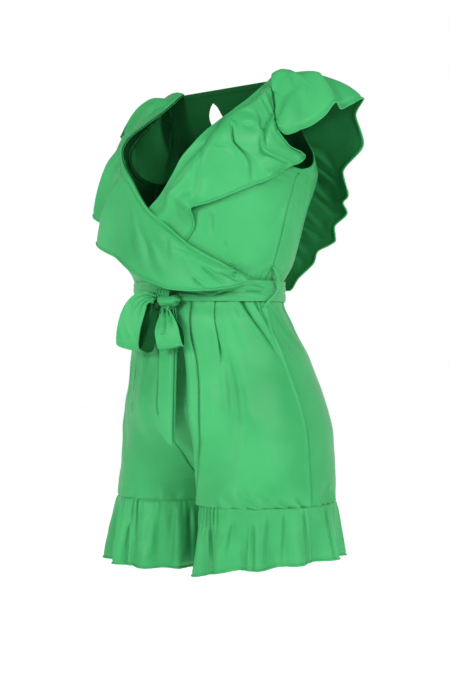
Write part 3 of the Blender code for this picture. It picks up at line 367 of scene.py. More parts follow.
# Creases of the hem ruffles: a is the place round the leg, b the share of the depth.
HEM_LEFT_CREASES = crease_table(
    (TURN, SHARE), (0, 0.1),
    (-17, -0.02, -20, 0.5, 2.5, 2, 0, 0), (-12, -0.02, -13, 0.42, 2.8, 2, 0, 0),
    (-7, -0.02, -7, 0.55, 2.5, 2, 0, 0), (-2.5, -0.02, -1, 0.4, 2.8, 2, 0, 0),
    (2, -0.02, 4, 0.5, 2.2, 2, 0, 0), (-9, 0.25, 5, 1.25, 6.7, 4.2, 0.02, 0.2),
    (20, 0.15, 16, 0.9, 3.6, 5, 0.03, 0.2), (36.5, 0.15, 36, 1.5, 4.2, 3.2, 0, 0.2),
    (50, 0.05, 46, 1.3, 4.2, 8, 0, 0.2), (62, 0.05, 61, 1.3, 4.2, 4.6, 0, 0.2),
    (80, 0.02, 81, 1.6, 5, -3.6), (104, 0.02, 106, 1.5, 5, -3.6), (123, 0.02, 121, 1.3, 4.8, 4),
    (139, 0.02, 141, 1.3, 4.8, 3.6), (158, 0.02, 157, 1.3, 4.8, 4), (174, 0.02, 176, 1.3, 4.8, 3.6),
    (-33, 0.02, -36, 1.3, 4.8, 4), (-60, 0.02, -62, 1.3, 4.2, 4), (-99, 0.02, -98, 1.3, 4.2, 4),
    (-128, 0.02, -126, 1.3, 4.8, 4), (-148, 0.02, -150, 1.3, 4.8, 4),
    (-168, 0.02, -166, 1.3, 4.8, 4),
)
HEM_RIGHT_CREASES = crease_table(
    (TURN, SHARE), (0, 0.1),
    (13, 0.02, 12, 1.4, 4.8, 3.6), (-2, 0.3, 0.5, 1.5, 7.6, 4.4, 0, 0.2),
    (-9, -0.02, -10, 0.8, 4.2, -2.6, 0, 0), (-5, -0.02, -5, 0.45, 2.8, 2, 0, 0),
    (-24, 0.25, -20, 0.95, 2.8, 5, 0.03, 0.2), (-33, 0.15, -30, 1.2, 4.2, 7, 0.02, 0.2),
    (-44, 0.05, -40, 1.3, 4.8, 7, 0, 0.2), (-58, 0.05, -58, 1.3, 4.2, 4.6, 0, 0.2),
    (28, 0.02, 30, 1.3, 4.8, 4), (50, 0.02, 48, 1.3, 4.8, 4), (66, 0.02, 68, 1.3, 4.8, 4),
    (92, 0.02, 90, 1.3, 4.8, 4), (118, 0.02, 120, 1.3, 4.8, 4), (134, 0.02, 133, 1.3, 4.8, 3.6),
    (154, 0.02, 156, 1.3, 4.8, 4), (172, 0.02, 171, 1.3, 4.8, 3.6), (-84, 0.02, -86, 1.3, 4.2, 4),
    (-110, 0.02, -108, 1.3, 4.2, 4), (-132, 0.02, -134, 1.3, 4.8, 4),
    (-152, 0.02, -150, 1.3, 4.8, 4), (-170, 0.02, -171, 1.3, 4.8, 4),
)
# Creases of the belt: a is the place round the waist, b the height from the waist seam.
BELT_CREASES = crease_table(
    (TURN, MM), (0.03, 0.1),
    (40, -10, 66, 6, 2.2, 1.6, 0.03, 0.2), (82, -2, 58, 4, 2.2, 1.6, 0.05, 0.1),
    (84, 4, 70, 14, 2.4, 1.6), (85, -8, 72, -2, 1.8, 1.4, 0, 0.1),
    (16, 0, 44, -12, 2, 1.8, 0.03, 0), (16, -8, 34, -14, 2, 1.4, 0, 0),
    (14, 6, 36, 2, 2, 1.6, 0, 0), (6, 4, -30, 6, 2.2, 1.6, 0.03, 0),
    (6, -6, -40, -8, 2.2, 1.6, 0.03, 0), (-84, 0, -60, 8, 2.2, 1.6),
    (-84, -6, -66, -10, 2, 1.6, 0, 0.1), (96, 0, 124, 6, 2.2, 1.6),
    (97, -6, 118, -10, 2, 1.6, 0, 0.1), (-96, 2, -130, -4, 2.2, 1.6),
    (150, 6, 178, 2, 1.8, 1.8, 0.03, 0.2), (-172, -6, -146, -2, 1.8, 1.8, 0.03, 0.2),
)
# Creases of a loop: a is the place across it, b the distance out from the knot.
LOOP_CREASES = crease_table(
    (MM, MM), (0.04, 0),
    (1, 10, 5, 60, 3.4, 2.4), (4, 8, 15, 70, 2.6, -2.2, 0.03, 0), (-4, 10, -12, 55, 2.4, 2.4),
    (-1, 12, -4, 36, 2, 1.8, 0, 0), (6, 56, 14, 52, 1.8, 1.8, 0, 0.2),
    (-20, 85, -8, 78, 1.6, 2.6, 0.03, 0.2),
)


# ---------------------------------------------------------------- reading the tables
def each(rows):
    """The rows of a table, one by one."""
    return [dict(zip(rows, values)) for values in zip(*rows.values())]


def smooth(at, places, values):
    """Reads a column at a place between its rows, on a curve that never overshoots them."""
    at = np.clip(at, places[0], places[-1])
    step = np.diff(places)
    rise = np.diff(values) / step
    same = rise[1:] * rise[:-1] > 0
    before, after = rise[:-1][same], rise[1:][same]
    slope = np.zeros(len(places))
    slope[1:-1][same] = 2 * after * before / (after + before)
    slope[0], slope[-1] = rise[0], rise[-1]
    i = np.clip(np.searchsorted(places, at, side="right") - 1, 0, len(step) - 1)
    t = (at - places[i]) / step[i]
    return (
        values[i] * (1 + 2 * t) * (1 - t) ** 2
        + slope[i] * step[i] * t * (1 - t) ** 2
        + values[i + 1] * t * t * (3 - 2 * t)
        + slope[i + 1] * step[i] * t * t * (t - 1)
    )


def read(rows, column, at, by="z"):
    return smooth(at, rows[by], rows[column])


def ease(at, start, end):
    """0 before start, 1 after end, and smooth between."""
    t = np.clip((at - start) / (end - start), 0.0, 1.0)
    return t * t * (3 - 2 * t)


def bump(at, centre, width):
    """1 at the centre, and softly down to 0 on both sides."""
    return np.exp(-(((at - centre) / width) ** 2))


def mix(first, second, share):
    share = share[..., None]
    return first * (1 - share) + second * share


def unit(vectors):
    return vectors / np.maximum(np.linalg.norm(vectors, axis=-1, keepdims=True), 1e-12)


def round_turn(count):
    return np.linspace(0.0, FULL_TURN, count + 1)[:-1]


def grid_normals(points, ring=False):
    """Unit normals of a grid of points, rows by columns."""
    down = np.gradient(points, axis=0)
    if ring:
        across = (np.roll(points, -1, axis=1) - np.roll(points, 1, axis=1)) / 2
    else:
        across = np.gradient(points, axis=1)
    return unit(np.cross(across, down))


def toward(normals, way):
    """The normals or their opposites, whichever lie to the side of way on the whole."""
    return normals * np.sign(np.sum(normals * way))


def facing(points, normals, ring=False):
    """Normals of a creased grid, each on the side of the plain one."""
    made = grid_normals(points, ring)
    return made * np.sign(np.sum(made * normals, axis=-1, keepdims=True) + 1e-9)


def flow_length(points, axis):
    """Distance along one way of a grid, from its first row or column."""
    steps = np.linalg.norm(np.diff(points, axis=axis), axis=-1)
    start = np.zeros_like(np.take(steps, [0], axis=axis))
    return np.concatenate([start, np.cumsum(steps, axis=axis)], axis=axis)


# ---------------------------------------------------------------- the forms
def shoulder_height(x):
    return -SHOULDER_SLOPE * np.maximum(np.abs(x) - NECK_X, 0.0)


def chest_share(drop, forward):
    """How much of its depth the front or the back has, this far below the shoulder line."""
    front, back = (read(CHEST_SLOPE, k, drop, "drop") for k in ("front", "back"))
    return np.where(forward, front, back)


def body_depth(level, forward):
    return np.where(forward, read(BODICE, "front", level), read(BODICE, "back", level))


def bodice_point(angle, level):
    """A place on the bodice. Angle is 0 at centre front, a quarter turn at the wearer's left."""
    square = 2.0 / read(BODICE, "square", level)
    side, front = np.sin(angle), np.cos(angle)
    x = read(BODICE, "half_width", level) * np.sign(side) * np.abs(side) ** square
    depth = body_depth(level, front > 0) * np.where(front > 0, 1.0, -1.0)
    reach = read(BODICE, "centre", level) - depth * np.abs(front) ** square + AXIS_Y
    y = reach * chest_share(np.clip(-level, 0.0, -ARM_Z), front > 0)
    rise = np.clip((level - ARM_Z) / -ARM_Z, 0.0, 1.0)
    z = np.where(level < ARM_Z, level, ARM_Z + (shoulder_height(x) - ARM_Z) * rise)
    return np.stack([x, y, z], axis=-1)


def bodice_normal(angle, level):
    step = 1e-4
    round_it = bodice_point(angle + step, level) - bodice_point(angle - step, level)
    lower = np.minimum(level, -2 * step)
    up = bodice_point(angle, lower + step) - bodice_point(angle, lower - step)
    return unit(mix(unit(np.cross(round_it, up)), UP, ease(level, -0.010, -0.001)))


def bodice_angle(x, level, back=False):
    """The angle at which the bodice is this far from its middle."""
    share = np.clip(np.abs(x) / read(BODICE, "half_width", level), 0.0, 1.0)
    angle = np.arcsin(share ** (read(BODICE, "square", level) / 2)) * np.sign(x)
    return np.sign(x) * math.pi - angle if back else angle


def clear_of_bodice(points, clearance, hold=0.0):
    """Moves points out until they are this far outside the bodice form. hold, 0 to 1, also draws
    in what lies further out, so that the cloth stays flat on the form."""
    x, y, z = points[..., 0], points[..., 1], points[..., 2]
    ridge = shoulder_height(x)
    rise = np.clip((z - ARM_Z) / (ridge - ARM_Z), 0.0, 1.0)
    level = np.where(z < ARM_Z, z, ARM_Z * (1 - rise))
    drop = np.clip(-level, 0.0, -ARM_Z)
    centre = read(BODICE, "centre", level) + AXIS_Y
    forward = y < centre * chest_share(drop, True)
    share = chest_share(drop, forward)
    middle = centre * share
    depth = np.maximum(body_depth(level, forward) * share, 0.003)
    square = read(BODICE, "square", level)
    across, along = np.abs(x) / read(BODICE, "half_width", level), np.abs(y - middle) / depth
    reach = np.maximum((across ** square + along ** square) ** (1 / square), 1e-6)
    wanted = 1 + clearance * reach / np.maximum(np.hypot(x, y - middle), 0.02)
    scale = np.where(reach < wanted, wanted / reach, 1.0 + hold * (wanted / reach - 1.0))
    radial = np.stack([x * scale, middle + (y - middle) * scale, z], axis=-1)
    # Above the armholes the form falls away from the shoulder line, so points move off its slope.
    edge = (1 - np.minimum(across, ARMHOLE_ACROSS) ** square) ** (1 / square)
    forward = y < 0
    way = np.where(forward, -1.0, 1.0)
    run = np.abs(centre + way * body_depth(level, forward) * edge)
    share, step = chest_share(drop, forward), 0.004
    fall = run * (chest_share(drop + step, forward) - share) / step
    out_y, out_z = 1 / np.hypot(1.0, fall), fall / np.hypot(1.0, fall)
    inside = (run * share - np.abs(y)) * out_y - np.maximum(z - ridge, 0.0) * out_z
    push = np.maximum(inside + clearance, 0.0) * ease(-across, -1.10, -1.0)
    sloped = np.stack([x, y + way * push * out_y, z + push * out_z], axis=-1)
    return mix(radial, sloped, ease(rise, 0.0, 0.2))


def side_edge(level, side, back):
    """Angle of a panel's outer edge: the side seam where it shows, then the armhole above it."""
    from_side = np.where(level > ARM_Z, read(ARMHOLE, "from_side", level), 0.0)
    from_side = from_side + math.degrees(SEAM_GAP / 2 / MEAN_RADIUS)
    forward = (90.0 - read(SIDE_SEAM, "turn", level)) * (level < ARM_Z)
    return side * np.radians(90.0 - forward + (from_side if back else -from_side))


def over_out(angle, level):
    """The over side rises off the under side, and comes back to the form at its own seams."""
    off_side_seam = ease(np.degrees(angle), -89.0, -62.0)
    off_shoulder = ease(-level, 0.012, 0.110)
    at_waist = 1 - 0.43 * ease(-level, 0.315, 0.360)
    return OVER_OUT * off_side_seam * off_shoulder * at_waist


def back_inner_edge(side, levels):
    """Angle of a half back's inner edge: the leaning centre seam, and the keyhole in it."""
    lean = NAPE_X * (1 - ease(-levels, 0.02, 0.30))
    lean = lean - 0.006 * ease(-levels, 0.021, 0.05) * (1 - ease(-levels, 0.09, 0.116))
    x = lean + side * (read(KEYHOLE, "half_width", levels) + SEAM_GAP / 2)
    angle = bodice_angle(np.abs(x), levels, back=True)
    signed = np.where(x > 0, angle, FULL_TURN - angle)
    return signed if side > 0 else signed - FULL_TURN


def seam_path(column, first_z):
    """Seam of one neck ruffle, at even steps, and its normals: front edge, then down the back."""
    down_front = np.linspace(first_z, -0.001, 160)
    down_back = np.linspace(-0.001, BACK_SEAM["z"][0], 160)
    side = 1.0 if column == "under" else -1.0
    front_angle = bodice_angle(read(NECKLINE, column, down_front), down_front)
    back_angle = side * bodice_angle(read(BACK_SEAM, "x", down_back), down_back, back=True)
    level = np.concatenate([down_front, down_back])
    angle = np.concatenate([front_angle, back_angle])
    points, normals = bodice_point(angle, level), bodice_normal(angle, level)
    if column == "over":
        rise = np.concatenate([over_out(front_angle, down_front), 0 * down_back])
        points = points + normals * rise[:, None]
    length = flow_length(points[:, None], 0)[:, 0]
    return length - length[len(down_front)], points, normals


def pick(station, place, values):
    return np.stack([np.interp(place, station, values[:, k]) for k in range(3)], axis=-1)


def ruffle_points(column, folds, places, widths, first_z):
    """Grid of one neck ruffle: from the seam, a falling curve to the free edge of the table."""
    station, seam, seam_normal = seam_path(column, first_z)
    normal = unit(pick(station, places, seam_normal))
    start = pick(station, places, seam) + normal * RUFFLE_OUT
    free = np.stack([read(folds, k, places, "station") for k in "xyz"], axis=-1)
    free[:, 1] += AXIS_Y
    lift = read(folds, "lift", places, "station")[:, None]
    on_shoulder = ease(places, -0.090, -0.020) * (1 - ease(places, 0.090, 0.190))
    middle = (start + free) / 2 + unit(mix(normal, UP, on_shoulder)) * lift
    w = widths[:, None, None]
    grid = start * (1 - w) ** 2 + 2 * middle * w * (1 - w) + free * w * w
    over = column == "over"
    hold = (1 - ease(places, -0.345, -0.318))[None, :] * (not over)
    clearance = RUFFLE_CLEAR * ease(widths, 0.0, 0.25)[:, None] * (1 - hold)
    clearance = clearance + RUFFLE_OUT + OVER_OUT * over
    over_belt = ease(-grid[..., 2], 0.350, 0.372) * (widths[:, None] > 0.2)
    cleared = clear_of_bodice(grid, clearance + RUFFLE_CLEAR * over_belt, hold)
    return mix(grid, cleared, np.maximum(ease(widths, 0.0, 0.12)[:, None] + 0 * places, hold))


def shorts_folds(turn, level):
    """Inward grooves of the pleats and drags, by place round the waist and by height."""
    depth = 0 * turn
    for fold in each(SHORTS_FOLDS):
        way_down = ease(-level, -fold["top"], -fold["bottom"])
        centre = fold["angle"] + fold["drift"] * way_down
        across = bump(turn, centre, fold["spread"] * (1 + 1.4 * way_down))
        depth = depth + fold["depth"] * across * ease(-level, 0.396, 0.425) * (1 - way_down)
    return depth


def shorts_grid(side, back, levels, across):
    """One shorts panel, from its side seam to the middle and, on the leg, to the inner side."""
    levels, across = levels[:, None], across[None, :]
    level = levels + 0 * across
    inset = math.degrees(SEAM_GAP / 2 / MEAN_RADIUS)
    seam = read(SIDE_SEAM, "turn", levels)
    if back:
        turn = 180.0 - (180.0 - seam - inset) * (1 - across)
        leg_turn = seam + inset + (270.0 - seam - 2 * inset) * across
    else:
        turn = (seam - inset) * (1 - across)
        leg_turn = seam - inset - (seam + 90.0 - 2 * inset) * across
    behind = ease(turn, seam, 125.0) if back else 0 * turn
    depth = np.where(turn < 90.0, read(SHORTS, "front", level), -read(SHORTS, "back", level))
    around, leg_around = np.radians(turn), np.radians(leg_turn)
    hips_y = read(SHORTS, "centre", level) - depth * np.abs(np.cos(around))
    hips = np.stack([read(SHORTS, "half_width", level) * np.sin(around), hips_y], axis=-1)
    leg_x = LEG["x"] + LEG["half_width"] * np.sin(leg_around)
    leg = np.stack([leg_x, LEG["y"] - LEG["half_depth"] * np.cos(leg_around)], axis=-1)
    # Towards the sides the parting is averaged over a few levels, so that it is softer there.
    spread = np.linspace(-0.024, 0.024, 9)
    outer = ease(np.minimum(turn, 180.0 - turn), 12.0, 40.0)
    part = 0.0
    for column, share in (("front", 1 - behind), ("back", behind)):
        soft = sum(read(PARTING, column, level + step) for step in spread) / len(spread)
        part = part + share * (read(PARTING, column, level) * (1 - outer) + soft * outer)
    flat = mix(hips, leg, part)
    outward = unit(flat - np.array([0.0, 0.02]))
    flat = flat - outward * (shorts_folds(turn, level) * (1 - part))[..., None]
    return np.stack([side * flat[..., 0], flat[..., 1] + AXIS_Y, level], axis=-1), turn


def hem_ruffle_grid(hem, turn, widths):
    w = widths[:, None]
    swing, fall = (read(HEM_WAVES, k, turn, "angle") for k in ("swing", "fall"))
    flare = (hem["flare"] + swing) * w ** hem["bend"]
    around = np.radians(turn)
    x = LEG["x"] + (LEG["half_width"] + 0.001 * (w > 0) + flare) * np.sin(around)
    y = LEG["y"] - (LEG["half_depth"] + flare) * np.cos(around)
    nearest = WALL / 2 + SEAM_GAP + 0.0012 + 0.010 * w
    x = nearest + np.logaddexp(0.0, (x - nearest) / 0.0015) * 0.0015
    top = LEG_Z - SEAM_GAP
    z = top + (hem["z"] - top - fall * hem["fall"]) * w
    return np.stack([hem["side"] * x, y + AXIS_Y, z], axis=-1)


def belt_point(angle, height, out):
    """Round the waist. Height is from the waist seam, out is from the waist's own round."""
    z = WAIST_Z + height + 0 * angle
    half_width, depth = WAIST_WIDTH + out, WAIST_DEPTH + out
    return np.stack([half_width * np.sin(angle), AXIS_Y - depth * np.cos(angle), z], axis=-1)


def belt_out(angle):
    """The belt lies over both fronts in front and to the sides, and closer at the back."""
    return 0.0030 + 0.0030 * ease(np.cos(angle), -0.35, 0.10)


def loop_grid(loop, steps, shares):
    """A loop of belt cloth: out along its middle line in front, round, and back behind."""
    shift = np.array([0.0, AXIS_Y, 0.0])
    start, bend, tip = (np.array(loop[k]) + shift for k in ("start", "bend", "tip"))
    t = np.linspace(-1.0, 1.0, steps)
    out = (np.cos(t * math.pi / 2) ** 0.8)[:, None]
    line = start * (1 - out) ** 2 + 2 * bend * out * (1 - out) + tip * out * out
    ahead = unit(2 * (bend - start) * (1 - out) + 2 * (tip - bend) * out)
    face = unit(np.array(loop["face"]))
    face = unit(face - ahead * (ahead @ face)[:, None])
    across = np.cross(ahead, face)
    apart = np.sin(t * math.pi) * 0.5 + 0.13 * np.sign(t) * ease(np.abs(t), 0.5, 1.0)
    line = line - face * (apart * loop["depth"])[:, None]
    returning = ease(t, -0.1, 0.25) * (1 - ease(t, 0.7, 1.0))
    line = line + np.array(loop["back"]) * returning[:, None]
    width = loop["width"] * (loop["gathered"] + (1 - loop["gathered"]) * ease(out, 0.0, 0.75))
    return line[None] + (across * width)[None] * shares[:, None, None]


def tail_grid(rows, steps, shares):
    """A tail of the belt, from its slanting cut end up to the knot."""
    z = rows["z"]
    height = np.linspace(z[0], z[-1], steps)
    turn = np.radians(read(rows, "turn", height))
    x, y = read(rows, "x", height), read(rows, "y", height) + AXIS_Y
    wide = shares[:, None] * read(rows, "width", height)
    drop = shares[:, None] * TAIL_SLANT * ease(-height, -z[2], -z[0])[None, :]
    return np.stack([x + wide * np.cos(turn), y + wide * np.sin(turn), height - drop], axis=-1)


# ---------------------------------------------------------------- materials
def fill(tree, made, inputs):
    """Sets a node's inputs to values, or links them to another node's output."""
    for name, value in inputs.items():
        if isinstance(value, bpy.types.NodeSocket):
            tree.links.new(value, made.inputs[name])
        else:
            made.inputs[name].default_value = value


def node(tree, kind, inputs, **settings):
    made = tree.nodes.new("ShaderNode" + kind)
    for name, value in settings.items():
        setattr(made, name, value)
    fill(tree, made, inputs)
    return made.outputs


def noise(tree, vector, scale, detail, distortion=0.0):
    inputs = {"Vector": vector, "Scale": scale, "Detail": detail, "Distortion": distortion}
    return node(tree, "TexNoise", inputs)["Fac"]


def bands(tree, vector, direction, **inputs):
    settings = {"wave_type": "BANDS", "bands_direction": direction, "wave_profile": "SIN"}
    return node(tree, "TexWave", {"Vector": vector, **inputs}, **settings)["Fac"]


def weighted(tree, first, weight, second):
    """first * weight + second"""
    return node(tree, "Math", {0: first, 1: weight, 2: second}, operation="MULTIPLY_ADD")[0]


def ramp(tree, share, *stops):
    made = tree.nodes.new("ShaderNodeValToRGB")
    for element, (position, colour) in zip(made.color_ramp.elements, stops):
        element.position, element.color = position, (*colour, 1.0)
    fill(tree, made, {"Fac": share})
    return made.outputs["Color"]


def bumps(tree, *layers):
    """Normal of fine relief: a height, its strength and its distance for each layer."""
    normal = {}
    for height, strength, distance in layers:
        inputs = {"Height": height, "Strength": strength, "Distance": distance, **normal}
        normal = {"Normal": node(tree, "Bump", inputs)["Normal"]}
    return normal


def new_material(name):
    made = bpy.data.materials.new(name)
    made.use_nodes = True
    return made, made.node_tree, made.node_tree.nodes["Principled BSDF"]


def jersey(name, light, dark, roughness, sheen, shine):
    """Smooth knit: fine ribs and loops, drawn streaks along the grain, soft creasing."""
    made, tree, shader = new_material(name)
    place = node(tree, "TexCoord", {})
    grain = place["UV"]
    # colour drift over a hand's width, and a faint heather of the yarn
    drift = noise(tree, place["Object"], 7.0, 3.0)
    heather = weighted(tree, noise(tree, grain, 900.0, 2.0), 0.22, drift)
    rough = {"Value": drift, "To Min": roughness - 0.05, "To Max": roughness + 0.06}
    # knit ribs across u, loops along v, and small soft creases
    ribs = bands(tree, grain, "X", Scale=480.0, Distortion=0.6, Detail=1.0)
    loops = bands(tree, grain, "Y", Scale=620.0, Distortion=0.8)
    stretched = node(tree, "Mapping", {"Vector": grain, "Scale": (1.0, 0.07, 1.0)})["Vector"]
    fill(tree, shader, {
        "Base Color": ramp(tree, heather, (0.40, dark), (0.85, light)),
        "Roughness": node(tree, "MapRange", rough)["Result"],
        **bumps(
            tree,
            (weighted(tree, loops, 0.45, ribs), 0.25, 0.00012),
            (noise(tree, stretched, 330.0, 3.0, 0.4), 0.45, 0.0004),
            (noise(tree, grain, 38.0, 3.0, 0.8), 0.22, 0.0014),
        ),
        "Specular IOR Level": shine,
        "Sheen Weight": sheen,
        "Sheen Roughness": 0.35,
        "Sheen Tint": (0.35, 1.0, 0.50, 1.0),
    })
    return made


def thread(name, colour):
    """Twisted sewing thread: light and dark turns along its length."""
    made, tree, shader = new_material(name)
    turns = bands(tree, node(tree, "TexCoord", {})["UV"], "DIAGONAL", Scale=700.0)
    shade = (colour[0] * 0.7, colour[1] * 0.8, colour[2] * 0.75)
    fill(tree, shader, {
        "Base Color": ramp(tree, turns, (0.0, shade), (1.0, colour)),
        **bumps(tree, (turns, 0.5, 0.0002)),
        "Roughness": 0.45,
        "Sheen Weight": 0.15,
        "Specular IOR Level": 0.3,
    })
    return made


OUTSIDE = jersey(
    "jersey_outside", (0.041, 0.294, 0.098), (0.024, 0.230, 0.069), 0.38, 0.03, 0.11
)
# Green of the shells' inner layer: painted shade of the garment's inside, the same knit, rougher
# and without sheen
INSIDE_PAINTED_SHADE = jersey(
    "jersey_inside_painted_shade", (0.0070, 0.074, 0.019), (0.0045, 0.054, 0.013), 0.75, 0.0, 0.02
)
# Green of the ruffles' inner layer: painted shade, lighter than the bodice's inside
FLOUNCE_INSIDE_PAINTED_SHADE = jersey(
    "jersey_flounce_inside_painted_shade", (0.0135, 0.138, 0.038), (0.0090, 0.104, 0.027), 0.70, 0.0, 0.04
)
THREAD = thread("sewing_thread", (0.034, 0.300, 0.092))


def add_piece(name, verts, faces, uvs, materials, kinds=None, node_name=None):
    """A mesh that rides on the garment's one body, and may take the place of a CAD node."""
    mesh = bpy.data.meshes.new(name)
    mesh.from_pydata(verts.reshape(-1, 3).tolist(), [], faces.tolist())
    layer = mesh.uv_layers.new(name="grain")
    loops = np.empty(len(mesh.loops), dtype=np.int32)
    mesh.loops.foreach_get("vertex_index", loops)
    layer.data.foreach_set("uv", uvs.reshape(-1, 2)[loops].astype(np.float32).ravel())
    for made in materials:
        mesh.materials.append(made)
    if kinds is not None:
        mesh.polygons.foreach_set("material_index", kinds.astype(np.int32))
    mesh.polygons.foreach_set("use_smooth", np.ones(len(faces), dtype=bool))
    mesh.update()
    obj = bpy.data.objects.new(name, mesh)
    bpy.context.scene.collection.objects.link(obj)
    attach(obj, "root")
    if node_name:
        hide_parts(node_name)
    return obj


def quads(index, ring=False):
    """Corner numbers of the squares of a grid. A ring's last column joins its first."""
    if ring:
        index = np.concatenate([index, index[:, :1]], axis=1)
    corners = (index[:-1, :-1], index[:-1, 1:], index[1:, 1:], index[1:, :-1])
    return index, np.stack(corners, axis=-1).reshape(-1, 4)


def cloth(name, points, normals, ring=False, thick=0.0010, node_name=None, turned=None):
    """A thin closed shell about a grid of points, with the knit's right side where normals point.
    The inner layer, and from the row turned on the outer one too, is in the darker green of
    painted shade."""
    rows, columns = points.shape[:2]
    verts = np.stack([points + normals * thick / 2, points - normals * thick / 2])
    along = flow_length(points, 1)[rows // 2][None, :]
    down = flow_length(points, 0)[:, columns // 2][:, None]
    uv = np.stack(np.broadcast_arrays(along, down), axis=-1)
    index, front = quads(np.arange(rows * columns).reshape(rows, columns), ring)
    across = np.cross(np.gradient(points, axis=1), np.gradient(points, axis=0))
    flip = np.sum(across[1:-1, 1:-1] * normals[1:-1, 1:-1]) < 0
    if flip:
        front = front[:, ::-1]
    shift = rows * columns
    edges = [(index[0, :-1], index[0, 1:], -1), (index[-1, :-1], index[-1, 1:], 1)]
    if not ring:
        edges += [(index[:-1, 0], index[1:, 0], 1), (index[:-1, -1], index[1:, -1], -1)]
    rims = []
    for start, end, turn in edges:
        rim = np.stack([start, end, end + shift, start + shift], axis=-1)
        rims.append(rim if (turn > 0) == flip else rim[:, ::-1])
    faces = np.concatenate([front, front[:, ::-1] + shift, *rims])
    kinds = np.zeros(len(faces))
    kinds[len(front) : 2 * len(front)] = 1
    if turned is not None:
        kinds[turned * (index.shape[1] - 1) : len(front)] = 1
    # The inner layer takes the darker greens of painted shade, lighter for the ruffles
    shades = [OUTSIDE, FLOUNCE_INSIDE_PAINTED_SHADE if "ruffle" in name else INSIDE_PAINTED_SHADE]
    return add_piece(name, verts, faces, np.stack([uv, uv]), shades, kinds, node_name)


def dress(name, points, normals, ring=False, thick=0.0010):
    """The cloth that shows in place of one solid."""
    return cloth(name + "_cloth", points, normals, ring, thick, node_name=name)


def tube(name, path, radius, normals, sides=8, ring=False, material=None):
    """A round cord of cloth or thread along a path."""
    if ring:
        ahead = unit(np.roll(path, -1, axis=0) - np.roll(path, 1, axis=0))
    else:
        ahead = unit(np.gradient(path, axis=0))
    up = unit(normals - ahead * np.sum(normals * ahead, axis=1, keepdims=True))
    side = np.cross(ahead, up)
    radius = np.broadcast_to(radius, (len(path),))[:, None, None]
    turn = round_turn(sides)[None, :, None]
    rings = path[:, None] + radius * (np.cos(turn) * side[:, None] + np.sin(turn) * up[:, None])
    length = flow_length(path[:, None], 0)
    uvs = np.stack(np.broadcast_arrays(length, np.arange(sides)[None] * 0.0006), axis=-1)
    index = np.arange(len(path) * sides).reshape(-1, sides)
    if ring:
        index = np.concatenate([index, index[:1]], axis=0)
    faces = quads(index, ring=True)[1][:, [0, 3, 2, 1]]
    return add_piece(name, rings, faces, uvs, [material or OUTSIDE])


def resample(path, step, values):
    """The path at even steps, and the values beside it."""
    length = flow_length(path[:, None], 0)[:, 0]
    at = np.arange(step / 2, length[-1], step)
    return pick(length, at, path), unit(pick(length, at, values))


# Cross-section of a sewn stitch: place along its length, and share of its full thickness.
STITCH = ((-0.5, 0.15), (-0.28, 0.95), (0.28, 0.95), (0.5, 0.15))
STITCH_STEP, STITCH_LENGTH, STITCH_RADIUS, STITCH_SINK = 0.0030, 0.0021, 0.00028, 0.0012


def stitches(name, path, normals, out):
    """A row of short sewn stitches lying on the cloth along a path."""
    centre, up = resample(path, STITCH_STEP, normals)
    ahead = unit(np.gradient(centre, axis=0))
    side = unit(np.cross(ahead, up))
    centre = centre + up * out
    rings = [
        centre
        + ahead * place * STITCH_LENGTH
        + (side * math.cos(t) + up * math.sin(t)) * STITCH_RADIUS * wide
        - up * place**2 * STITCH_SINK
        for place, wide in STITCH
        for t in round_turn(4)
    ]
    verts = np.stack(rings, axis=1)
    count, per = verts.shape[:2]
    one = quads(np.arange(per).reshape(-1, 4), ring=True)[1][:, [0, 3, 2, 1]]
    faces = (one[None] + (np.arange(count) * per)[:, None, None]).reshape(-1, 4)
    uvs = np.tile(np.linspace(0, 0.002, per)[None, :, None], (count, 1, 2))
    return add_piece(name, verts, faces, uvs, [THREAD])


# ---------------------------------------------------------------- small cloth forms
def ripple(u, v, seed, scale):
    """Smooth uneven ripples, from about -1 to 1, of about this size in metres."""
    rng = np.random.default_rng(seed)
    total = 0.0
    for _ in range(7):
        turn = rng.uniform(0, FULL_TURN)
        size = scale * rng.uniform(0.6, 1.7)
        phase = rng.uniform(0, FULL_TURN)
        along = u * math.cos(turn) + v * math.sin(turn)
        total = total + np.sin(along * FULL_TURN / size + phase)
    return total / 4.0


def uneven_wave(u, seed, spacing):
    """Folds along u whose spacing, height and sharpness vary, from about -1 to 1."""
    rng = np.random.default_rng(seed)
    warp = 0.0
    for k in (1, 2, 3):
        slow = FULL_TURN * u / (spacing * (3.1 * k + 1.3))
        warp = warp + rng.uniform(0.3, 0.7) * np.sin(slow + rng.uniform(0, 6.28))
    wave = np.sin(FULL_TURN * u / spacing + 2.2 * warp)
    size = 0.55 + 0.45 * np.sin(FULL_TURN * u / (spacing * 4.3) + rng.uniform(0, 6.28))
    return (wave - 0.25 * np.cos(4 * math.pi * u / spacing + 4.4 * warp)) * size


def traces(rows, a, b, a_unit, b_unit):
    """For each crease of a table: how far along and how far across it the places a, b lie, its
    width, and its depth there. It begins over the share lead of its length, and fades out on its
    way. The units turn a and b into metres."""
    a, b = a * a_unit, b * b_unit
    for r in each(rows):
        start = np.array([r["a0"] * a_unit, r["b0"] * b_unit])
        run = np.array([r["a1"] * a_unit, r["b1"] * b_unit]) - start
        length = np.hypot(*run)
        ahead = run / length
        t = ((a - start[0]) * ahead[0] + (b - start[1]) * ahead[1]) / length
        bend = r["bend"] * length * 4 * t * (1 - t)
        across = (b - start[1]) * ahead[0] - (a - start[0]) * ahead[1] - bend
        begin = ease(t, -0.02, max(r["lead"], 0.01)) if r["lead"] > 0 else (t > -0.3) * 1.0
        yield t, across, r["width"], r["depth"] * begin * (1 - ease(t, 0.45, 1.0))


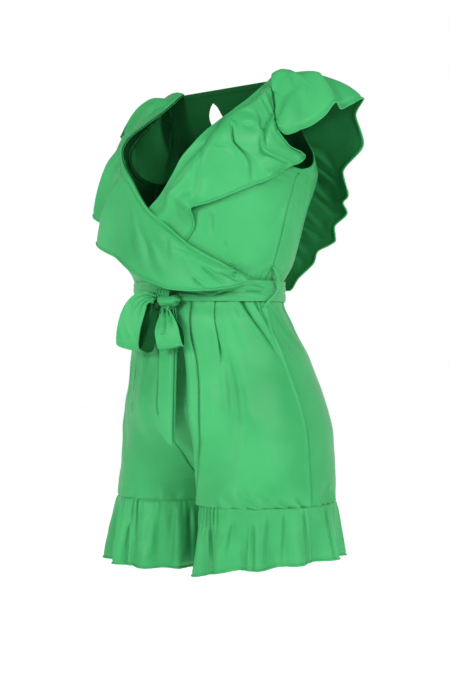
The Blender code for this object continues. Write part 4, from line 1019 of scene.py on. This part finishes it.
def creases(rows, a, b, a_unit=1.0, b_unit=1.0):
    """Uneven troughs, steep on the side where a ridge stands, which is the +across side, or the
    other for a negative width."""
    out = 0.0
    for t, across, width, depth in traces(rows, a, b, a_unit, b_unit):
        share = across / (width * (0.75 + 0.75 * np.clip(t, 0, 1)))
        trough = bump(share, 0.0, np.where(share > 0, 0.65, 1.4))
        out = out + depth * (0.55 * bump(share, 1.5, 1.0) - trough)
    return out


def laps(rows, a, b, a_unit=1.0, b_unit=1.0):
    """Fold edges that lap over a hollow beside them: how far they stand out, and how far they
    slide across towards the hollow, which lies on the +across side, or the other for a negative
    width."""
    out = slide = 0.0
    for _, across, width, depth in traces(rows, a, b, a_unit, b_unit):
        share = across / width
        lip = bump(share, -0.9, 1.0)
        out = out + depth * (0.40 * lip - bump(share, 0.6, np.where(share > 0.6, 1.6, 0.9)))
        slide = slide + depth * 1.3 * lip * np.sign(width)
    return out, slide


def close_shares(count, size, places=()):
    """Shares from 0 to 1, closer together beside both ends, where the cloth turns into a seam, and
    over the places of the sharpest creases."""
    at = np.linspace(0.0, 1.0, 4001)
    density = 1 + 5 * bump(at * size, 0.0, 0.003) + 5 * bump((1 - at) * size, 0.0, 0.003)
    for place, reach, pull in places:
        density = density + pull * bump(at, place, reach)
    total = np.concatenate([[0.0], np.cumsum((density[1:] + density[:-1]) / 2)])
    return np.interp(np.linspace(0.0, total[-1], count), total, at)


def sharp_places(rows, share_of, unit_size, size):
    """Where the sharpest creases of a table lie, how far each reaches, and the detail it asks."""
    sharp = (np.abs(rows["width"]) < 0.0052) & (rows["depth"] > 0.0017)
    place = share_of((rows["a0"] + rows["a1"]) / 2)[sharp]
    width = np.abs(rows["width"])[sharp]
    half = np.minimum(np.abs(rows["a1"] - rows["a0"])[sharp] / 2 * unit_size, 0.02) + 2.0 * width
    return list(zip(place, half / size, 0.005 / width))


def seam_turn(distance):
    """The cloth stands up a little beside a seam and rolls in over the last two millimetres."""
    return 0.0006 * bump(distance, 0.0042, 0.0020) - 0.0034 * bump(distance, 0.0, 0.0014)


def hem_groove(distance):
    """The cloth dips beside a rolled hem."""
    return -0.0015 * bump(distance, 0.0034, 0.0012)


def rolled_hem(name, grid, normals, places, seed, uneven, ring=False):
    """Uneven rolled hem of a ruffle's free edge."""
    radius = 0.0016 * (1 + uneven * ripple(places, 0 * places, seed, 0.012))
    return tube(name + "_rolled_hem", grid[-1], radius, normals[-1], ring=ring)


def hem_row(name, grid, normals):
    """The row of stitches above a rolled hem."""
    return stitches(name + "_hem_stitches", grid[-4], normals[-4], out=0.0005)


# Section of a folded binding: share of its width inward from the raw edge, and of its lift.
BINDING = (
    (1.0, 0.75), (0.97, 1.0), (0.75, 1.25), (0.45, 1.35), (0.15, 1.2), (-0.06, 0.8),
    (-0.12, 0.0), (-0.06, -0.8), (0.15, -1.1), (0.6, -1.1), (1.0, -0.8),
)
BINDING_LIFT = 0.0011
ARMHOLE_BINDING, NECK_BINDING, KEYHOLE_BINDING = 0.0075, 0.0070, 0.0055    # widths
UNDERSIDE = 5            # the row of the section from which a binding faces in


def edge_band(name, path, normals, inward, width, ring=False):
    """A narrow binding folded over a raw edge, with its row of stitches."""
    inward = unit(inward - normals * np.sum(inward * normals, axis=1, keepdims=True))
    grid = np.stack([path + inward * width * d + normals * BINDING_LIFT * n for d, n in BINDING])
    outward = grid_normals(grid, ring)
    outward = outward * np.sign(np.sum(outward[3] * normals))
    line = path + inward * (width - 0.0014)
    # From the row UNDERSIDE on, the binding faces in and takes the darker inside green: painted
    # shade
    return [
        cloth(name, grid, outward, ring, thick=0.0004, turned=UNDERSIDE),
        stitches(name + "_stitches", line, normals, out=BINDING_LIFT * 1.15),
    ]


# ---------------------------------------------------------------- bodice
def fine_panel(name, side, inner_edge, detail, creased, seed, out=None):
    """One bodice panel, with its creases; its side edge turns in at the side seam."""
    columns, rows = detail
    belt_edge = np.linspace(BODICE_FOOT, -0.345, rows // 4)
    levels = np.append(belt_edge, np.linspace(-0.342, BODICE_TOP, 3 * rows // 4))
    across = close_shares(columns, 0.26)[None, :]
    inner, outer = inner_edge(levels)[:, None], side_edge(levels, side, "back" in name)[:, None]
    angle = inner * (1 - across) + outer * across
    level = levels[:, None] + 0 * across
    points, normals = bodice_point(angle, level), bodice_normal(angle, level)
    if out is not None:
        points = points + normals * out(angle, level)[..., None]
    size = np.abs(outer - inner) * MEAN_RADIUS
    from_inner, from_side = across * size, (1 - across) * size
    relief = creases(creased, np.degrees(angle), level, DEGREE * MEAN_RADIUS)
    relief = relief + 0.00045 * ripple(angle * MEAN_RADIUS, level, seed, 0.06)
    relief = relief * ease(from_side, 0.0, 0.006) * ease(from_inner, 0.0, 0.006)
    relief = relief * ease(-level, 0.02, 0.08) + seam_turn(from_side) * (level < ARM_Z)
    points = points + normals * relief[..., None]
    return dress(name, points, facing(points, normals))


def armhole_binding(word, side):
    """Along the raw edge of one armhole: up the front, over the shoulder and down the back."""
    level = np.linspace(-0.002, ARM_Z, 90)
    front, back = side_edge(level, side, back=False), side_edge(level, side, back=True)
    angle, levels = np.append(front, back[::-1]), np.append(level, level[::-1])
    path, normals = resample(
        bodice_point(angle, levels), 0.004, bodice_normal(angle, levels)
    )
    inward = np.cross(normals, unit(np.gradient(path, axis=0)))
    inward = inward * -np.sign(inward[len(path) // 2, 2])
    return edge_band(f"armhole_{word}_binding", path, normals, inward, ARMHOLE_BINDING, ring=True)


def back_neck_bindings(word, side):
    """Narrow bindings of the back neck edge and of one side of the keyhole."""
    across = np.linspace(0.0, 1.0, 60)
    level = BODICE_TOP - 0.001 + 0 * across
    outer = bodice_angle(np.array([side * NECK_X]), level[:1], back=True)[0]
    angle = back_inner_edge(side, level) * (1 - across) + outer * across
    points, normals = bodice_point(angle, level), bodice_normal(angle, level - 0.01)
    down = np.broadcast_to(-UP, points.shape)
    neck = edge_band(f"back_neck_{word}_binding", points, normals, down, NECK_BINDING)
    level = np.linspace(-0.116, -0.020, 60)
    angle = back_inner_edge(side, level)
    points, normals = bodice_point(angle, level), bodice_normal(angle, level)
    away = np.broadcast_to(np.array([float(side), 0.0, 0.0]), points.shape)
    return neck + edge_band(f"keyhole_{word}_binding", points, normals, away, KEYHOLE_BINDING)


def make_bodice():
    over, under = (
        lambda level, column=column: bodice_angle(read(NECKLINE, column, level), level)
        for column in ("over", "under")
    )
    right = fine_panel(
        "bodice_front_right", -1, over, (96, 116), FRONT_RIGHT_CREASES, 31, over_out
    )
    left = fine_panel("bodice_front_left", 1, under, (100, 120), FRONT_LEFT_CREASES, 32)
    for (word, side), seed in zip(SIDES, (33, 34)):
        edge = lambda level, side=side: back_inner_edge(side, level) + side * BACK_LAP
        turned = {k: side * v if k in ("a0", "a1") else v for k, v in BACK_CREASES.items()}
        fine_panel(f"bodice_back_{word}", side, edge, (60, 100), turned, seed)
    left_armhole, right_armhole = (armhole_binding(*which) for which in SIDES)
    back_neck_bindings("left", 1)
    back_neck_bindings("right", -1) + right_armhole


# ---------------------------------------------------------------- neck ruffles
# Rows of a ruffle's grid beside its two edges, in millimetres from each.
NEAR_SEAM = (0.0, 1.2, 2.8, 4.6, 6.4, 7.8, 9.2, 10.6, 12.4, 15.0, 18.0, 21.0)
NEAR_HEM = (4.8, 3.4, 2.2, 1.2, 0.0)
SHARPEST = {"over": -0.050, "under": -0.0165}    # station of the sharpest fold, for more detail
FULL_ROLL = {"over": 0.0020, "under": 0.0070}    # how far the ruffle rolls out in front
PROBE = 150                                      # a column by which the outside is told


def shoulder_lap(station, width):
    """Steep step down from the cap to the front part, with a hollow beneath its edge: how far the
    cloth stands out, and how far it slides along the seam."""
    beyond = station - read(LAP, "station", width, "width")
    raised = 0.0052 * ease(beyond, -0.0007, 0.0007) * np.exp(-np.maximum(beyond, 0.0) / 0.020)
    hollow = 0.0034 * bump(beyond, -0.0026, 0.0022)
    hollow = hollow + 0.0026 * bump(beyond, -0.006, 0.009) * (beyond < 0)
    full = ease(width, 0.10, 0.30)
    return (raised - hollow) * full, -0.0060 * bump(beyond, 0.0016, 0.0030) * full


def make_neck_ruffle(name, column, folds, first_z, creased, seed):
    """A flounce, fine over the turned neck band and the hem, with its creases, lap and gathers."""
    under = column == "under"
    band, hem = (np.array(rows) / MM / NECK_RUFFLE for rows in (NEAR_SEAM, NEAR_HEM))
    widths = np.concatenate([band, np.linspace(0.20, 0.945, 38), 1.0 - hem])
    first, last = folds["station"][0], folds["station"][-1]
    size = last - first
    pull = [((SHARPEST[column] - first) / size, 0.010 / size, 3.0)]
    places = first + size * close_shares(440, size, pull)
    grid = ruffle_points(column, folds, places, widths, first_z)
    plain = grid_normals(grid)
    outward = grid[:, PROBE] - np.array([0.0, AXIS_Y, -0.30])
    plain = plain * np.sign(np.sum(plain[:, PROBE] * outward))
    station, width = np.broadcast_arrays(places[None, :], widths[:, None])
    relief = creases(creased, station, width, 1.0, NECK_RUFFLE)
    uneven = ripple(station, width * NECK_RUFFLE, seed, 0.05)
    relief = relief + 0.0006 * uneven * ease(width, 0.1, 0.3)
    gathers = uneven_wave(station, seed, 0.011) * ease(width, 0.0, 0.03)
    gathers = gathers * (1 - ease(width, 0.06, 0.34))
    relief = relief + 0.0011 * gathers * ease(station, 0.110, 0.160)
    relief = relief + hem_groove((1 - width) * NECK_RUFFLE)
    roll = bump(width, 0.36, 0.13) * (1 - ease(station, -0.03, 0.06))
    relief = relief + FULL_ROLL[column] * roll
    slide = 0.0 * relief
    if under:
        raised, slide = shoulder_lap(station, width)
        relief = relief + raised
        corner = bump(station, -0.0160, 0.0060) * ease(width, 0.55, 1.0)
        grid[..., 2] -= 0.013 * corner + 0.65 * np.maximum(grid[..., 2] - 0.005, 0.0)
    else:
        turned_band = read(NECK_BAND, "out", flow_length(grid, 0), "distance")
        relief = relief + turned_band * (1 - ease(station, -0.02, 0.03))
    aside = unit(np.gradient(grid, axis=1))
    grid = grid + plain * relief[..., None] + aside * slide[..., None]
    normals = toward(grid_normals(grid), plain)
    ruffle = dress(name, grid, normals)
    hem = rolled_hem(name, grid, normals, places, seed + 5, 0.16)
    ends = [
        tube(f"{name}_end_hem_{end}", grid[:, i], 0.0009, normals[:, i])
        for end, i in (("front", 0), ("back", -1))
    ]
    hem_row(name, grid, normals)


# ---------------------------------------------------------------- shorts
def make_shorts_panel(word, side, back, creased, lapped):
    """One panel, creased, with its edges turned into the seams."""
    columns, rows = (90, 104) if back else (136, 118)

    def share_of(turn):
        return (turn - 90.0) / 90.0 if back else (90.0 - turn) / 90.0

    places = sharp_places(creased, share_of, DEGREE * MEAN_RADIUS, PANEL)
    if not back:
        places += [(share_of(a), 0.012 / PANEL, 2.5) for a in lapped["a0"]]
    across = close_shares(columns, PANEL, places)
    levels = np.linspace(SHORTS_TOP, -0.7748, rows)
    levels = np.append(levels, (-0.7766, -0.7780, -0.7790, SHORTS_FOOT))
    grid, turn = shorts_grid(side, back, levels, across)
    plain = grid_normals(grid)
    outward = (grid - np.array([side * 0.08, AXIS_Y + 0.045, 0.0])) * (1.0, 1.0, 0.0)
    plain = plain * np.sign(np.sum(plain[10:60] * outward[10:60]))
    level = levels[:, None] + 0 * turn
    relief = creases(creased, turn, level, DEGREE * MEAN_RADIUS)
    relief = relief + 0.0006 * ripple(turn * DEGREE * MEAN_RADIUS * 1.4, level, 41 + side, 0.07)
    stand, slide = laps(lapped, turn, level, DEGREE * MEAN_RADIUS)
    if not back:
        relief = relief + stand
    aside = unit(np.gradient(grid, axis=1) * np.sign(np.gradient(turn, axis=1))[..., None])
    size = np.abs(np.diff(flow_length(grid, 1)[:, [0, -1]], axis=1))
    from_side, from_middle = across[None, :] * size, (1 - across)[None, :] * size
    keep = ease(from_side, 0.0, 0.006) * ease(from_middle, 0.0, 0.012)
    puckers = 0.0005 * uneven_wave(level, 43, 0.016) * bump(from_side, 0.0, 0.006)
    relief = relief * keep + puckers + seam_turn(from_side) + seam_turn(from_middle) * 0.8
    relief = relief + 0.5 * seam_turn(level - SHORTS_FOOT)
    # The front's side edge stands over the back's, most of all on the hip.
    lip = (-0.0020 if back else 0.0022) * bump(from_side, 0.0040, 0.0036)
    relief = relief + lip * (0.45 + 0.55 * ease(level, -0.66, -0.56))
    grid = grid + plain * relief[..., None]
    if not back:
        grid = grid + aside * (slide * keep)[..., None]
    grid[..., 0] = side * np.maximum(side * grid[..., 0], 0.0007)
    name = f"shorts_{'back' if back else 'front'}_{word}"
    dress(name, grid, toward(grid_normals(grid), plain))


def make_hem_ruffle(word, creased):
    """A ring round one leg, with its waves, creases and gathers."""
    hem = HEMS[word]
    side, seed = hem["side"], hem["seed"]
    first, last = (0.0, 0.008, 0.018, 0.032), (0.967, 0.978, 0.989, 1.0)
    widths = np.concatenate([first, np.linspace(0.05, 0.955, 24), last])
    around = LEG["half_depth"] * DEGREE * 0.9
    places = sharp_places(creased, lambda a: (a + 180.0) / 360.0, around, around * 360.0)
    turn = (360.0 * close_shares(481, around * 360.0, places)[:-1] - 180.0)[None, :]
    grid = hem_ruffle_grid(hem, turn, widths)
    plain = toward(grid_normals(grid, ring=True), grid - grid.mean(axis=1, keepdims=True))
    place, width = np.broadcast_arrays(turn, widths[:, None])
    relief = creases(creased, place, width, around, HEM_RUFFLE)
    relief = relief * ease(side * grid[..., 0], 0.004, 0.018)
    gathers = uneven_wave(place * around, seed, 0.010) * (1 - ease(width, 0.03, 0.30))
    gathers = gathers * ease(width, 0.0, 0.02) * ease(180.0 - np.abs(place), 0.0, 6.0)
    relief = relief + 0.0007 * gathers + seam_turn(width * HEM_RUFFLE) * 0.35
    relief = relief + hem_groove((1 - width) * HEM_RUFFLE)
    relief = relief + 0.0005 * ripple(place * around, width * HEM_RUFFLE, seed + 3, 0.04)
    grid = grid + plain * relief[..., None]
    grid[..., 0] = side * np.maximum(side * grid[..., 0], 0.0009)
    grid[0, :, 2] += HEM_LAP
    normals = facing(grid, plain, ring=True)
    name = f"hem_ruffle_{word}"
    made = dress(name, grid, normals, ring=True)
    hem = rolled_hem(name, grid, normals, turn[0] * around, seed + 5, 0.18, ring=True)
    hem_row(name, grid, normals)


# ---------------------------------------------------------------- belt and bow
BAND_CLOTH, BOW_CLOTH, KNOT_CLOTH = 0.0016, 0.0015, 0.0014    # thickness of the double cloth


def dress_creased(name, grid, plain, relief, thick, ring=False):
    """The cloth of a piece that has its own relief and nothing sewn to it."""
    grid = grid + plain * relief[..., None]
    dress(name, grid, facing(grid, plain, ring), ring, thick)


def make_belt_band():
    angle = np.linspace(-math.pi, math.pi, 421)[:-1][None, :]
    heights = BELT_HEIGHT * np.linspace(-0.5, 0.5, 25)[:, None]
    folds = read(BELT_FOLDS, "out", heights / BELT_HEIGHT, "height")
    strength = 0.75 + 0.25 * np.sin(2 * angle + 0.7)
    grid = belt_point(angle, heights, belt_out(angle) + folds * strength)
    plain = toward(grid_normals(grid, ring=True), grid - np.array([0.0, AXIS_Y, WAIST_Z]))
    place, height = np.broadcast_arrays(np.degrees(angle), heights)
    relief = creases(BELT_CREASES, place, height, DEGREE * BELT_RADIUS)
    relief = relief + 0.0004 * ripple(place * DEGREE * BELT_RADIUS, height, 51, 0.03)
    dress_creased("belt_band", grid, plain, relief, BAND_CLOTH, ring=True)


def make_tail(name, rows):
    """A flat tail with a soft roll across it, gathered where it leaves the knot."""
    shares = np.linspace(-0.5, 0.5, 23)
    grid = tail_grid(rows, 110, shares)
    plain = toward(grid_normals(grid), FRONT)
    s, z = shares[:, None] + 0 * grid[..., 2], grid[..., 2]
    gathered = 1 - ease(-z, 0.425, 0.475)
    relief = 0.0016 * np.sin(s * FULL_TURN * 2.1 + 0.6) * gathered
    relief = relief + 0.0011 * np.cos(s * math.pi) * (1 - gathered)
    relief = relief - 0.0007 * bump(s, 0.36, 0.05) + 0.0005 * ripple(s * 0.034, z, 61, 0.05)
    dress_creased(name, grid, plain, relief, BOW_CLOTH)


def make_loop(name, loop):
    grid = loop_grid(loop, 120, np.linspace(-0.5, 0.5, 31))
    plain = toward(grid_normals(grid), grid - grid.reshape(-1, 3).mean(axis=0))
    along = flow_length(grid, 1)
    from_knot = np.minimum(along, along[:, -1:] - along)
    across = flow_length(grid, 0) - flow_length(grid, 0)[-1:] / 2
    relief = creases(LOOP_CREASES, across, from_knot)
    off_knot = ease(from_knot, 0.004, 0.040)
    drawn = 0.0011 * np.sin(across * FULL_TURN / 0.0052 + 0.8) * (1 - off_knot)
    relief = relief + drawn + 0.0005 * ripple(across, along, 71, 0.03)
    dress_creased(name, grid, plain, relief, BOW_CLOTH)


# Folds round the knot: depth, place, how much the place moves along the knot, and spread.
KNOT_FOLDS = (
    (0.09, 0.35, 0.5, 0.07), (0.12, 1.35, -0.7, 0.06), (0.07, 2.3, 0.4, 0.06),
    (0.08, 5.6, -0.6, 0.07), (0.08, 4.4, 0.0, 0.07),
)


def on_knot(x, y, z):
    """A place from the knot's middle: along it, towards the body, and up."""
    c, s = math.cos(math.radians(KNOT["turn"])), math.sin(math.radians(KNOT["turn"]))
    places = (KNOT["x"] + x * c - y * s, KNOT["y"] + AXIS_Y + x * s + y * c, KNOT["z"] + z)
    return np.stack(np.broadcast_arrays(*places), axis=-1)


def make_knot():
    """The belt cloth wrapped once round the knot in lengthwise folds, and the gathers above it."""
    s = np.linspace(-0.5, 0.5, 41)[:, None]
    turn = round_turn(96)[None, :]
    size = np.ones_like(turn)
    for depth, place, drift, spread in KNOT_FOLDS:
        size = size - depth * bump(np.sin((turn - place - drift * s) / 2), 0.0, spread)
    size = size * (1 - 0.94 * ease(np.abs(s), 0.34, 0.5))
    flare = 1 + KNOT["taper"] * 0.42 * np.sin(turn)
    grid = on_knot(
        s * KNOT["width"] * 1.02 * flare,
        -np.cos(turn) * KNOT["depth"] * 0.55 * size,
        np.sin(turn) * KNOT["height"] * 0.55 * size,
    )
    plain = toward(grid_normals(grid, ring=True), grid - grid.mean(axis=1, keepdims=True))
    knot = dress("bow_knot", grid, plain, ring=True, thick=KNOT_CLOTH)
    rise = np.linspace(0.0, 1.0, 14)[:, None]
    share = np.linspace(-0.5, 0.5, 61)[None, :]
    folds = np.sin(share * FULL_TURN * 4.3 + 0.5) + 0.35 * np.sin(share * FULL_TURN * 9.1)
    out = 0.0022 * folds * (1 - 0.5 * rise) + 0.004 * np.sin(rise * math.pi)
    across = share * (0.024 + 0.010 * rise) - 0.005 - 0.004 * rise
    grid = on_knot(across, -0.0065 + 0.0035 * rise - out, 0.006 + 0.016 * rise)
    normals = facing(grid, np.broadcast_to(FRONT, grid.shape))
    cloth("bow_knot_gathers", grid, normals)


def make_carrier(word, side):
    """A cord down the side seam over the belt, bowed out and hooked forward at its lower end."""
    steps = np.linspace(0.0, 1.0, 70)
    height = CARRIER["top"] - CARRIER["fall"] * steps
    bow = CARRIER["bow"] * np.sin(steps * math.pi) ** 0.7
    out = read(CARRIER_ROOT, "out", height) + WALL / 2 + CARRIER["clear"] + bow
    sway = np.sin(np.minimum(steps / 0.55, 1.0) * math.pi / 2)
    lean = 0.010 * sway - 0.024 * ease(steps, 0.5, 1.0)
    centre = np.stack([side * out, AXIS_Y + lean, height], axis=-1)
    up = np.cross(unit(np.gradient(centre, axis=0)), -FRONT)
    rings = [
        centre - FRONT * math.cos(t) * 0.0036 + up * math.sin(t) * 0.0018 for t in round_turn(12)
    ]
    grid = np.stack(rings, axis=1)
    name = f"belt_carrier_{word}"
    made = dress(name, grid, unit(grid - centre[:, None]), ring=True, thick=0.0005)
    stitches(name + "_stitches", centre, up * side, out=0.0014)


def make_button():
    """Covered button of the nape: a domed cap, its rim, and the thread loop that holds it."""
    radius, thickness = BUTTON["radius"], BUTTON["thickness"]
    level = np.array([BUTTON["z"]])
    angle = FULL_TURN - bodice_angle(np.array([-NAPE_X]), level, back=True)
    place, normal = bodice_point(angle, level)[0], bodice_normal(angle, level)[0]
    side = unit(np.cross(normal, UP))
    up = np.cross(side, normal)
    share = np.linspace(0.0, 1.0, 22)[:, None]
    turn = round_turn(48)[None, :]
    dome, rim = share / 0.8 * math.pi / 2, (share - 0.8) / 0.2
    reach = radius * np.where(share < 0.8, np.sin(dome), 1 - 0.25 * rim)
    height = thickness * np.where(share < 0.8, 0.45 + 0.55 * np.cos(dome), 0.45 * (1 - rim))
    pleats = 1 + 0.02 * np.sin(18 * turn) * ease(share, 0.6, 0.9)
    base = place + normal * (WALL / 2 + SEAM_GAP)
    way = np.cos(turn)[..., None] * side + np.sin(turn)[..., None] * up
    flat = (reach * pleats)[..., None] * way
    grid = base + flat + (height + 0 * turn)[..., None] * normal
    normals = facing(grid, flat + normal * radius, ring=True)
    made = dress("neck_button", grid[1:], normals[1:], ring=True, thick=0.0006)
    around = round_turn(40)[:, None]
    oval = side * np.cos(around) * 1.12 + up * np.sin(around) * 1.02
    ring = base + normal * 0.0010 + oval * radius
    outward = np.broadcast_to(normal, ring.shape)
    loop = tube("neck_button_loop", ring, 0.0006, outward, sides=7, ring=True, material=THREAD)


# ---------------------------------------------------------------- stage
FLOOR_SIZE, FLOOR_Z = 14.0, -1.42
FOCAL, PHOTO_HEIGHT, SENSOR = 1484.0, 680.0, 36.0    # focal length and height in pixels, and mm
DISTANCE, AIM_Z, AIM_ASIDE = 2.8, -0.48, 0.029
VIEW_TURN = math.pi / 4
LAMPS = (
    ("key", (3.35, -0.7, 0.9), (0.0, 0.0, -0.4), 0.8, 92.0),
    ("front", (0.3, -3.3, 0.5), (0.0, 0.0, -0.4), 0.9, 72.0),
    ("back", (1.0, 3.0, 1.8), (0.0, 0.0, -0.3), 2.0, 16.0),
)


def make_stage():
    """A pale floor, and a sky that is bright below and dimmer above."""
    floor, tree, shader = new_material("pale_floor")
    fill(tree, shader, {
        "Base Color": (0.93, 0.93, 0.93, 1.0),
        "Roughness": 0.9,
        "Emission Color": (1.0, 1.0, 1.0, 1.0),
        "Emission Strength": 0.54,
    })
    mesh = bpy.data.meshes.new("floor")
    corners = ((-1, -1), (1, -1), (1, 1), (-1, 1))
    places = [(x * FLOOR_SIZE, y * FLOOR_SIZE, FLOOR_Z) for x, y in corners]
    mesh.from_pydata(places, [], [(0, 1, 2, 3)])
    mesh.materials.append(floor)
    made = bpy.data.objects.new("floor", mesh)
    bpy.context.scene.collection.objects.link(made)
    world = bpy.data.worlds.new("studio")
    bpy.context.scene.world = world
    world.use_nodes = True
    tree = world.node_tree
    way = node(tree, "TexCoord", {})["Generated"]
    up = node(tree, "SeparateXYZ", {"Vector": way})["Z"]
    span = {"Value": up, "From Min": 0.26, "From Max": 0.66, "To Min": 1.0, "To Max": 0.32}
    shade = node(tree, "MapRange", span)["Result"]
    fill(tree, tree.nodes["Background"], {"Color": shade, "Strength": 1.0})
    bpy.context.scene.view_settings.view_transform = "Standard"


def aim(name, data, location, target):
    """A lamp or camera at a place, turned to its target."""
    made = bpy.data.objects.new(name, data)
    made.location = location
    bpy.context.scene.collection.objects.link(made)
    made.rotation_mode = "QUATERNION"
    made.rotation_quaternion = (Vector(target) - made.location).to_track_quat("-Z", "Y")
    return made


def make_lamp(name, location, target, size, power):
    data = bpy.data.lights.new(name, "AREA")
    data.shape, data.size, data.energy = "DISK", size, power
    aim(name, data, location, target)


def make_camera():
    """At the photograph's angle: 45 degrees round to the wearer's left, level, 2.8 m away."""
    data = bpy.data.cameras.new("camera")
    data.lens = FOCAL * SENSOR / PHOTO_HEIGHT
    right = np.array([math.cos(VIEW_TURN), math.sin(VIEW_TURN), 0.0])
    back = np.array([math.sin(VIEW_TURN), -math.cos(VIEW_TURN), 0.0])
    target = np.array([0.0, AXIS_Y, AIM_Z]) + right * AIM_ASIDE
    bpy.context.scene.camera = aim("camera", data, target + back * DISTANCE, target)


make_bodice()
make_neck_ruffle("ruffle_right", "over", RUFFLE_RIGHT, -0.369, OVER_CREASES, 11)
make_neck_ruffle("ruffle_left", "under", RUFFLE_LEFT, -0.262, UNDER_CREASES, 12)
for back in (False, True):
    make_shorts_panel("left", 1, back, SHORTS_LEFT_CREASES, SHORTS_LEFT_LAPS)
for back in (False, True):
    make_shorts_panel("right", -1, back, SHORTS_RIGHT_CREASES, SHORTS_RIGHT_LAPS)
make_hem_ruffle("left", HEM_LEFT_CREASES)
make_hem_ruffle("right", HEM_RIGHT_CREASES)
make_belt_band()
for name, loop in BOW_LOOPS.items():
    make_loop(name, loop)
make_tail("belt_tail_front", TAIL_FRONT)
make_tail("belt_tail_back", TAIL_BACK)
make_knot()
for which in SIDES:
    make_carrier(*which)
make_button()
make_stage()
for lamp in LAMPS:
    make_lamp(*lamp)
make_camera()
